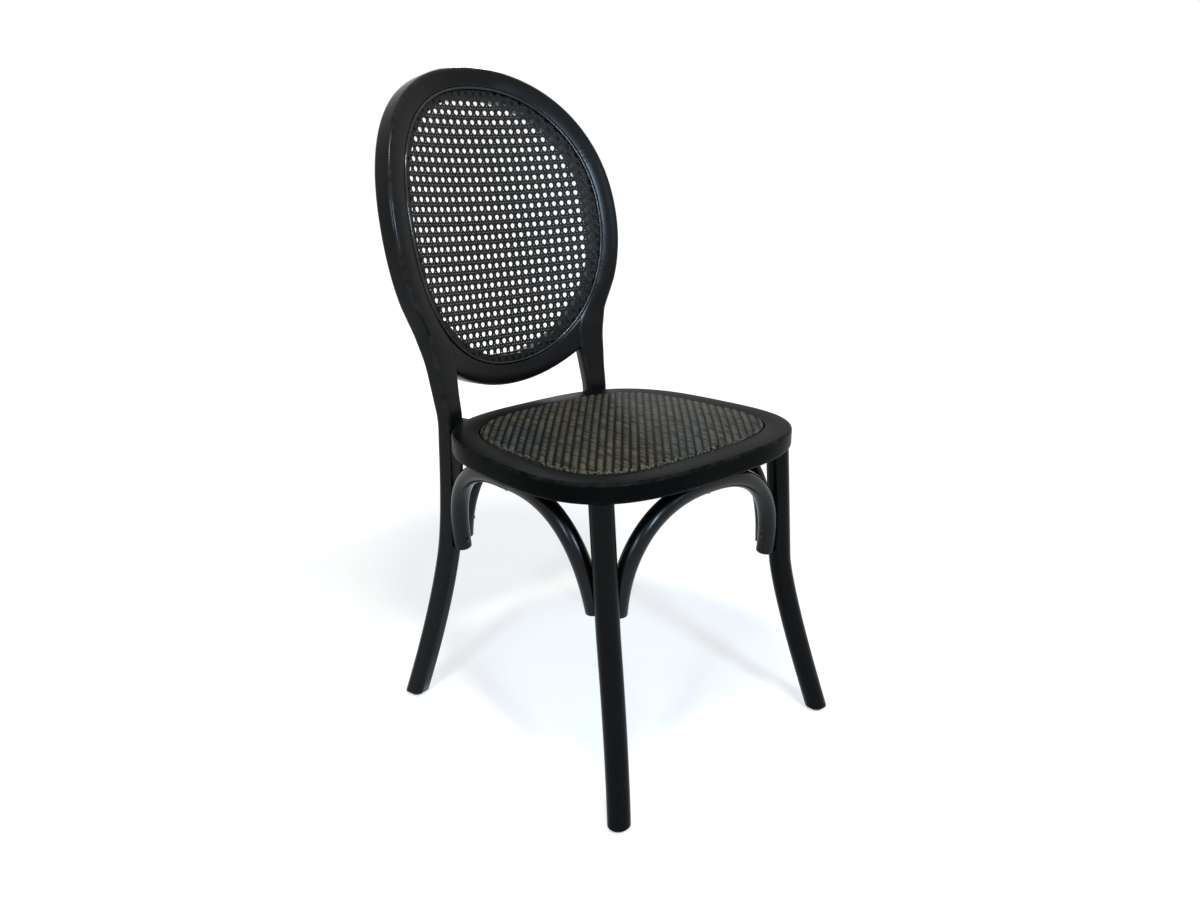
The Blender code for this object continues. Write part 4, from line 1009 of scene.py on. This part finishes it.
def maths(tree, operation, first, second):
    item = add_node(tree, 'Math', {"operation": operation})
    plug(tree, item.inputs[0], first)
    plug(tree, item.inputs[1], second)
    return item.outputs[0]


def times(tree, first, second):
    return maths(tree, 'MULTIPLY', first, second)


def bumped(tree, height, strength, distance, **below):
    return add_node(tree, 'Bump', Height=height, Strength=strength, Distance=distance,
                    **below).outputs["Normal"]


def surface(tree, colour, roughness, normal, metallic=0.0, specular=0.5):
    shader = add_node(tree, 'BsdfPrincipled', Base_Color=colour, Roughness=roughness,
                      Normal=normal, Metallic=metallic, Specular_IOR_Level=specular)
    add_node(tree, 'OutputMaterial', Surface=shader.outputs[0])


# Materials


def lacquer(name):
    """Black lacquer over bent wood: faint grain, soft waves, fine specks, and a lighter colour along tight
    corners that is partly wear and partly a painted highlight.
    """
    dark, light, roughness, specular = LACQUERS[name]
    material, tree = nodes_of(name)
    place = object_place(tree)
    drift = noise(tree, place, 7.0, 2.0)
    grain = noise(tree, object_place(tree, (1.0, 1.0, 0.12)), 420.0, 4.0, 0.6)
    specks = spread(tree, noise(tree, place, 900.0, 1.0), 0.70, 0.78)
    patches = spread(tree, noise(tree, place, 75.0, 5.0, 0.62), 0.40, 0.66)
    worn_and_sheen = times(tree, attribute(tree, "edge"), patches)
    colour = between(tree, spread(tree, drift, 0.35, 0.65), dark, light)
    colour = between(tree, spread(tree, grain, 0.50, 0.80, 0.0, 0.35), colour, LACQUER_GRAIN)
    # Tight corners turn lighter: partly wear, partly a painted highlight
    colour = between(tree, worn_and_sheen, colour, LACQUER_WORN_AND_SHEEN)
    rough = spread(tree, drift, 0.3, 0.7, roughness - 0.03, roughness + 0.04)
    rough = maths(tree, 'ADD', rough, times(tree, specks, 0.10))
    wave = bumped(tree, noise(tree, place, 26.0, 2.0), 0.10, 0.0008,
                  Normal=bumped(tree, grain, 0.10, 0.00010))
    surface(tree, colour, rough, wave, specular=specular)
    return material


def strand(name, dark, light, roughness, specular):
    """Peeled cane: every strand has its own tone, fibres along it and a slight sheen."""
    material, tree = nodes_of(name)
    place = object_place(tree)
    drift = noise(tree, place, 30.0, 3.0)
    fibre = noise(tree, place, 1400.0, 3.0, 0.6)
    share = maths(tree, 'ADD', times(tree, attribute(tree, "tone"), 0.6), times(tree, drift, 0.5))
    surface(tree, between(tree, spread(tree, share, 0.1, 0.9), dark, light),
            spread(tree, fibre, 0.3, 0.7, roughness - 0.06, roughness + 0.08),
            bumped(tree, fibre, 0.25, 0.0002), specular=specular)
    return material


def rattan(name):
    """Dark woven rattan: painted shade in the low grooves, brown strokes, and pale flecks where strands are
    cut at the rim.
    """
    material, tree = nodes_of(name)
    place = object_place(tree)
    rim = attribute(tree, "rim")
    drift = noise(tree, place, 9.0, 3.0)
    fibre = noise(tree, place, 1500.0, 3.0, 0.65)
    mottle = noise(tree, place, 420.0, 2.0)
    share = maths(tree, 'ADD', times(tree, attribute(tree, "tone"), 0.75), times(tree, mottle, 0.45))
    share = spread(tree, share, 0.35, 1.05)
    brown = between(tree, share, *RATTAN_BROWN)
    grey = between(tree, share, *RATTAN_GREY)
    colour = between(tree, spread(tree, drift, 0.40, 0.62), brown, grey)
    # Painted shade: the lower the weave stands, the darker it is
    colour = between(tree, spread(tree, attribute(tree, "lift"), 0.24, 0.74), RATTAN_GROOVE_SHADE, colour)
    fleck = spread(tree, noise(tree, place, 330.0, 1.0), 0.52, 0.60)
    fleck = times(tree, fleck, spread(tree, rim, 0.25, 0.60))
    colour = between(tree, times(tree, fleck, 0.7), colour, RATTAN_FLECK)
    colour = between(tree, spread(tree, rim, 0.72, 0.88), colour, RATTAN_RIM)
    surface(tree, colour, spread(tree, fibre, 0.3, 0.7, 0.42, 0.58), bumped(tree, fibre, 0.3, 0.0002),
            specular=0.03)
    return material


def metal(name, colour, roughness):
    """Dark steel with scuffed, lighter patches."""
    material, tree = nodes_of(name)
    scuff = noise(tree, object_place(tree), 700.0, 4.0)
    shade = between(tree, spread(tree, scuff, 0.4, 0.7), colour, tuple(value * 1.8 for value in colour))
    surface(tree, shade, spread(tree, scuff, 0.3, 0.7, roughness - 0.06, roughness + 0.1),
            bumped(tree, scuff, 0.15, 0.0001), metallic=0.85)
    return material


def plastic(name, colour, roughness):
    """Moulded plastic with a fine pebble and worn patches."""
    material, tree = nodes_of(name)
    place = object_place(tree)
    pebble = noise(tree, place, 2600.0, 2.0)
    wear = spread(tree, noise(tree, place, 180.0, 4.0), 0.52, 0.7)
    shade = between(tree, wear, colour, tuple(value * 1.9 for value in colour))
    surface(tree, shade, spread(tree, wear, 0.0, 1.0, roughness, roughness + 0.15),
            bumped(tree, pebble, 0.3, 0.0001), specular=0.35)
    return material


def timber(name, dark, light, scale):
    """Bare wood: long grain lines and pores."""
    material, tree = nodes_of(name)
    place = object_place(tree, scale)
    lines = add_node(tree, 'TexWave', {"wave_type": 'BANDS', "bands_direction": 'Y'},
                     Vector=place, Scale=30.0, Distortion=6.0, Detail=3.0)
    pores = noise(tree, place, 500.0, 4.0, 0.65)
    share = maths(tree, 'ADD', times(tree, lines.outputs["Fac"], 0.5), times(tree, pores, 0.5))
    surface(tree, between(tree, share, dark, light), spread(tree, pores, 0.3, 0.7, 0.55, 0.72),
            bumped(tree, pores, 0.2, 0.0002), specular=0.3)
    return material


# Stage, light and camera


def seen_ray(tree):
    """One for rays that see the background: from the camera, from gloss and through glass."""
    path = add_node(tree, 'LightPath')
    seen = maths(tree, 'MAXIMUM', path.outputs["Is Camera Ray"], path.outputs["Is Glossy Ray"])
    return maths(tree, 'MAXIMUM', seen, path.outputs["Is Transmission Ray"])


def make_world():
    """Faint sky light, and plain white wherever the background is seen."""
    world = bpy.data.worlds.new("studio")
    world.use_nodes = True
    tree = world.node_tree
    tree.nodes.clear()
    sky = add_node(tree, 'Background', Color=WORLD_COLOUR, Strength=WORLD_STRENGTH)
    white = add_node(tree, 'Background', Color=(1, 1, 1), Strength=1.0)
    mix = add_node(tree, 'MixShader')
    for place, value in enumerate((seen_ray(tree), sky.outputs[0], white.outputs[0])):
        tree.links.new(value, mix.inputs[place])
    add_node(tree, 'OutputWorld', Surface=mix.outputs[0])
    bpy.context.scene.world = world


def make_floor():
    """A pale floor that keeps the chair's shadow and turns white further out."""
    corners = ((-1, -1), (1, -1), (1, 1), (-1, 1))
    verts = [(x * FLOOR_HALF, y * FLOOR_HALF, 0) for x, y in corners]
    mesh = new_mesh("studio_floor", verts, [(0, 1, 2, 3)])
    material, tree = nodes_of("studio_floor")
    paint = add_node(tree, 'BsdfDiffuse', Color=FLOOR_COLOUR)
    away = add_node(tree, 'VectorMath', {"operation": 'LENGTH'}, Vector=object_place(tree))
    level = spread(tree, away.outputs["Value"], FLOOR_GLOW_FROM, FLOOR_WHITE_FROM, FLOOR_GLOW, 1.0)
    glow = add_node(tree, 'Emission', Color=(1, 1, 1), Strength=times(tree, seen_ray(tree), level))
    total = add_node(tree, 'AddShader')
    tree.links.new(paint.outputs[0], total.inputs[0])
    tree.links.new(glow.outputs[0], total.inputs[1])
    add_node(tree, 'OutputMaterial', Surface=total.outputs[0])
    mesh.materials.append(material)
    new_object(mesh)


def make_lamp(name, place, aim, size, energy, colour):
    light = bpy.data.lights.new(name, 'AREA')
    light.shape = 'RECTANGLE'
    light.size, light.size_y = size
    light.energy = energy
    light.color = colour
    turn = (Vector(aim) - Vector(place)).to_track_quat('-Z', 'Y')
    new_object(light).matrix_world = Matrix.Translation(place) @ turn.to_matrix().to_4x4()


def make_camera():
    ahead = Vector((sin(CAMERA_YAW) * cos(CAMERA_PITCH),
                    cos(CAMERA_YAW) * cos(CAMERA_PITCH), -sin(CAMERA_PITCH)))
    right = ahead.cross(Vector((0, 0, 1))).normalized()
    up = right.cross(ahead)
    tipped_right = right * cos(CAMERA_ROLL) + up * sin(CAMERA_ROLL)
    tipped_up = up * cos(CAMERA_ROLL) - right * sin(CAMERA_ROLL)
    lens = bpy.data.cameras.new("photo_camera")
    lens.sensor_width = SENSOR_WIDTH
    lens.lens = CAMERA_FOCAL_PIXELS / PHOTO_WIDTH * SENSOR_WIDTH
    lens.clip_start = 0.05
    item = new_object(lens)
    axes = Matrix((tipped_right, tipped_up, -ahead)).transposed().to_4x4()
    item.matrix_world = Matrix.Translation(CAMERA_PLACE) @ axes
    bpy.context.scene.camera = item


# The chair


def seat_ring_mesh():
    profile = seat_frame_profile()
    rings = [[(*seat_point(angle, inset), height) for inset, height in profile]
             for angle in seat_angles(SEAT_RINGS)]
    return new_object(grid_mesh("seat_frame_piece", rings, closed=True))


def seat_ear(side, label):
    """A block that runs from the seat ring back to a post's front face."""
    middle = SEAT_FRAME_BOTTOM + SEAT_FRAME_THICKNESS / 2
    post = rear_leg_place(middle)
    up = Vector((0, 0, 1))
    rearward = Vector((side * sin(HOOP_TURN), cos(HOOP_TURN), 0))
    across = rearward.cross(up)
    front_face = (Vector((side * post.x, post.y, middle)) - rearward * (POST_DEPTH / 2)
                  - across * (side * EAR_SET_IN))
    height = SEAT_FRAME_THICKNESS - 2 * EAR_DROP
    sections = [rounded_section(front_face + rearward * reach, across, up, EAR_WIDTH, height, EAR_CORNER)
                for reach in (EAR_STOP - SEAT_FRAME_FACE, 0.0, POST_DEPTH / 4)]
    return new_object(grid_mesh("seat_ear_" + label, sections))


def add_bentwood(hoop_black, seat_black):
    """The hoop and rail, whose lip and ledge one oval cuts, and the seat frame that meets the posts."""
    rebate = rebate_cutter()
    hoop = hoop_mesh()
    boolean(hoop, rebate)
    rail = rail_mesh()
    boolean(rail, hoop)
    boolean(rail, rebate)
    add_piece(baked(rail), hoop_black, "back_lower_rail")
    seat_ring = seat_ring_mesh()
    ears = [seat_ear(side, label) for side, label in SIDES]
    for ear in ears:
        boolean(seat_ring, ear, 'UNION')
    boolean(seat_ring, hoop)
    add_piece(baked(seat_ring), seat_black, "seat_frame")
    add_piece(baked(hoop), hoop_black, "back_hoop")
    for item in [rebate] + ears:
        bpy.data.objects.remove(item, do_unlink=True)


def add_legs_and_braces(leg_black, brace_black):
    for side, label in SIDES:
        add_piece(front_leg_mesh(label, side), leg_black, "front_leg_" + label)
    for label, layout in arch_layout().items():
        path = through(arch_path(*layout), 2)
        sections = round_sections(path, ARCH_RADIUS, ARCH_SIDES, ARCH_END_ROUND, ARCH_END_ROUND)
        add_piece(grid_mesh("arch_brace_" + label + "_piece", sections), brace_black, "arch_brace_" + label)


def dress_carried_nodes():
    """Nodes that are carried over take their own materials."""
    carried = {
        "rail_dowel": timber("beech_dowel", (0.42, 0.27, 0.15), (0.62, 0.44, 0.27), (0.2, 1, 1)),
        "seat_board": timber("plywood", (0.30, 0.20, 0.12), (0.46, 0.33, 0.21), (1, 1, 6)),
        "foot_glide": plastic("black_glide_plastic", (0.018, 0.018, 0.019), 0.5),
        "post_bolt": metal("black_steel_bolt", (0.022, 0.022, 0.024), 0.36),
        "screw": metal("black_steel_screw", (0.024, 0.024, 0.026), 0.38),
    }
    for name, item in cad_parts.items():
        material = next((carried[key] for key in carried if key in name), None)
        if material:
            for slot in item.material_slots:
                slot.material = material


make_camera()
make_world()
make_floor()
for lamp in LAMPS:
    make_lamp(*lamp)

black = {name: lacquer(name) for name in LACQUERS}
cane_black = strand("black_cane", CANE_DARK, CANE_LIGHT, 0.38, specular=0.12)
add_bentwood(black["black_lacquer_hoop"], black["black_lacquer_seat_frame"])
add_piece(spline_mesh(), black["black_spline"], "cane_spline")
add_piece(cane_mesh(), cane_black, "cane_panel", sharp=60)
pad = add_piece(pad_mesh(), rattan("dark_brown_woven_rattan"), "seat_pad", sharp=180)
add_legs_and_braces(black["black_lacquer_legs"], black["black_lacquer_braces"])
dress_carried_nodes()

bpy.context.scene.view_settings.view_transform = 'Standard'
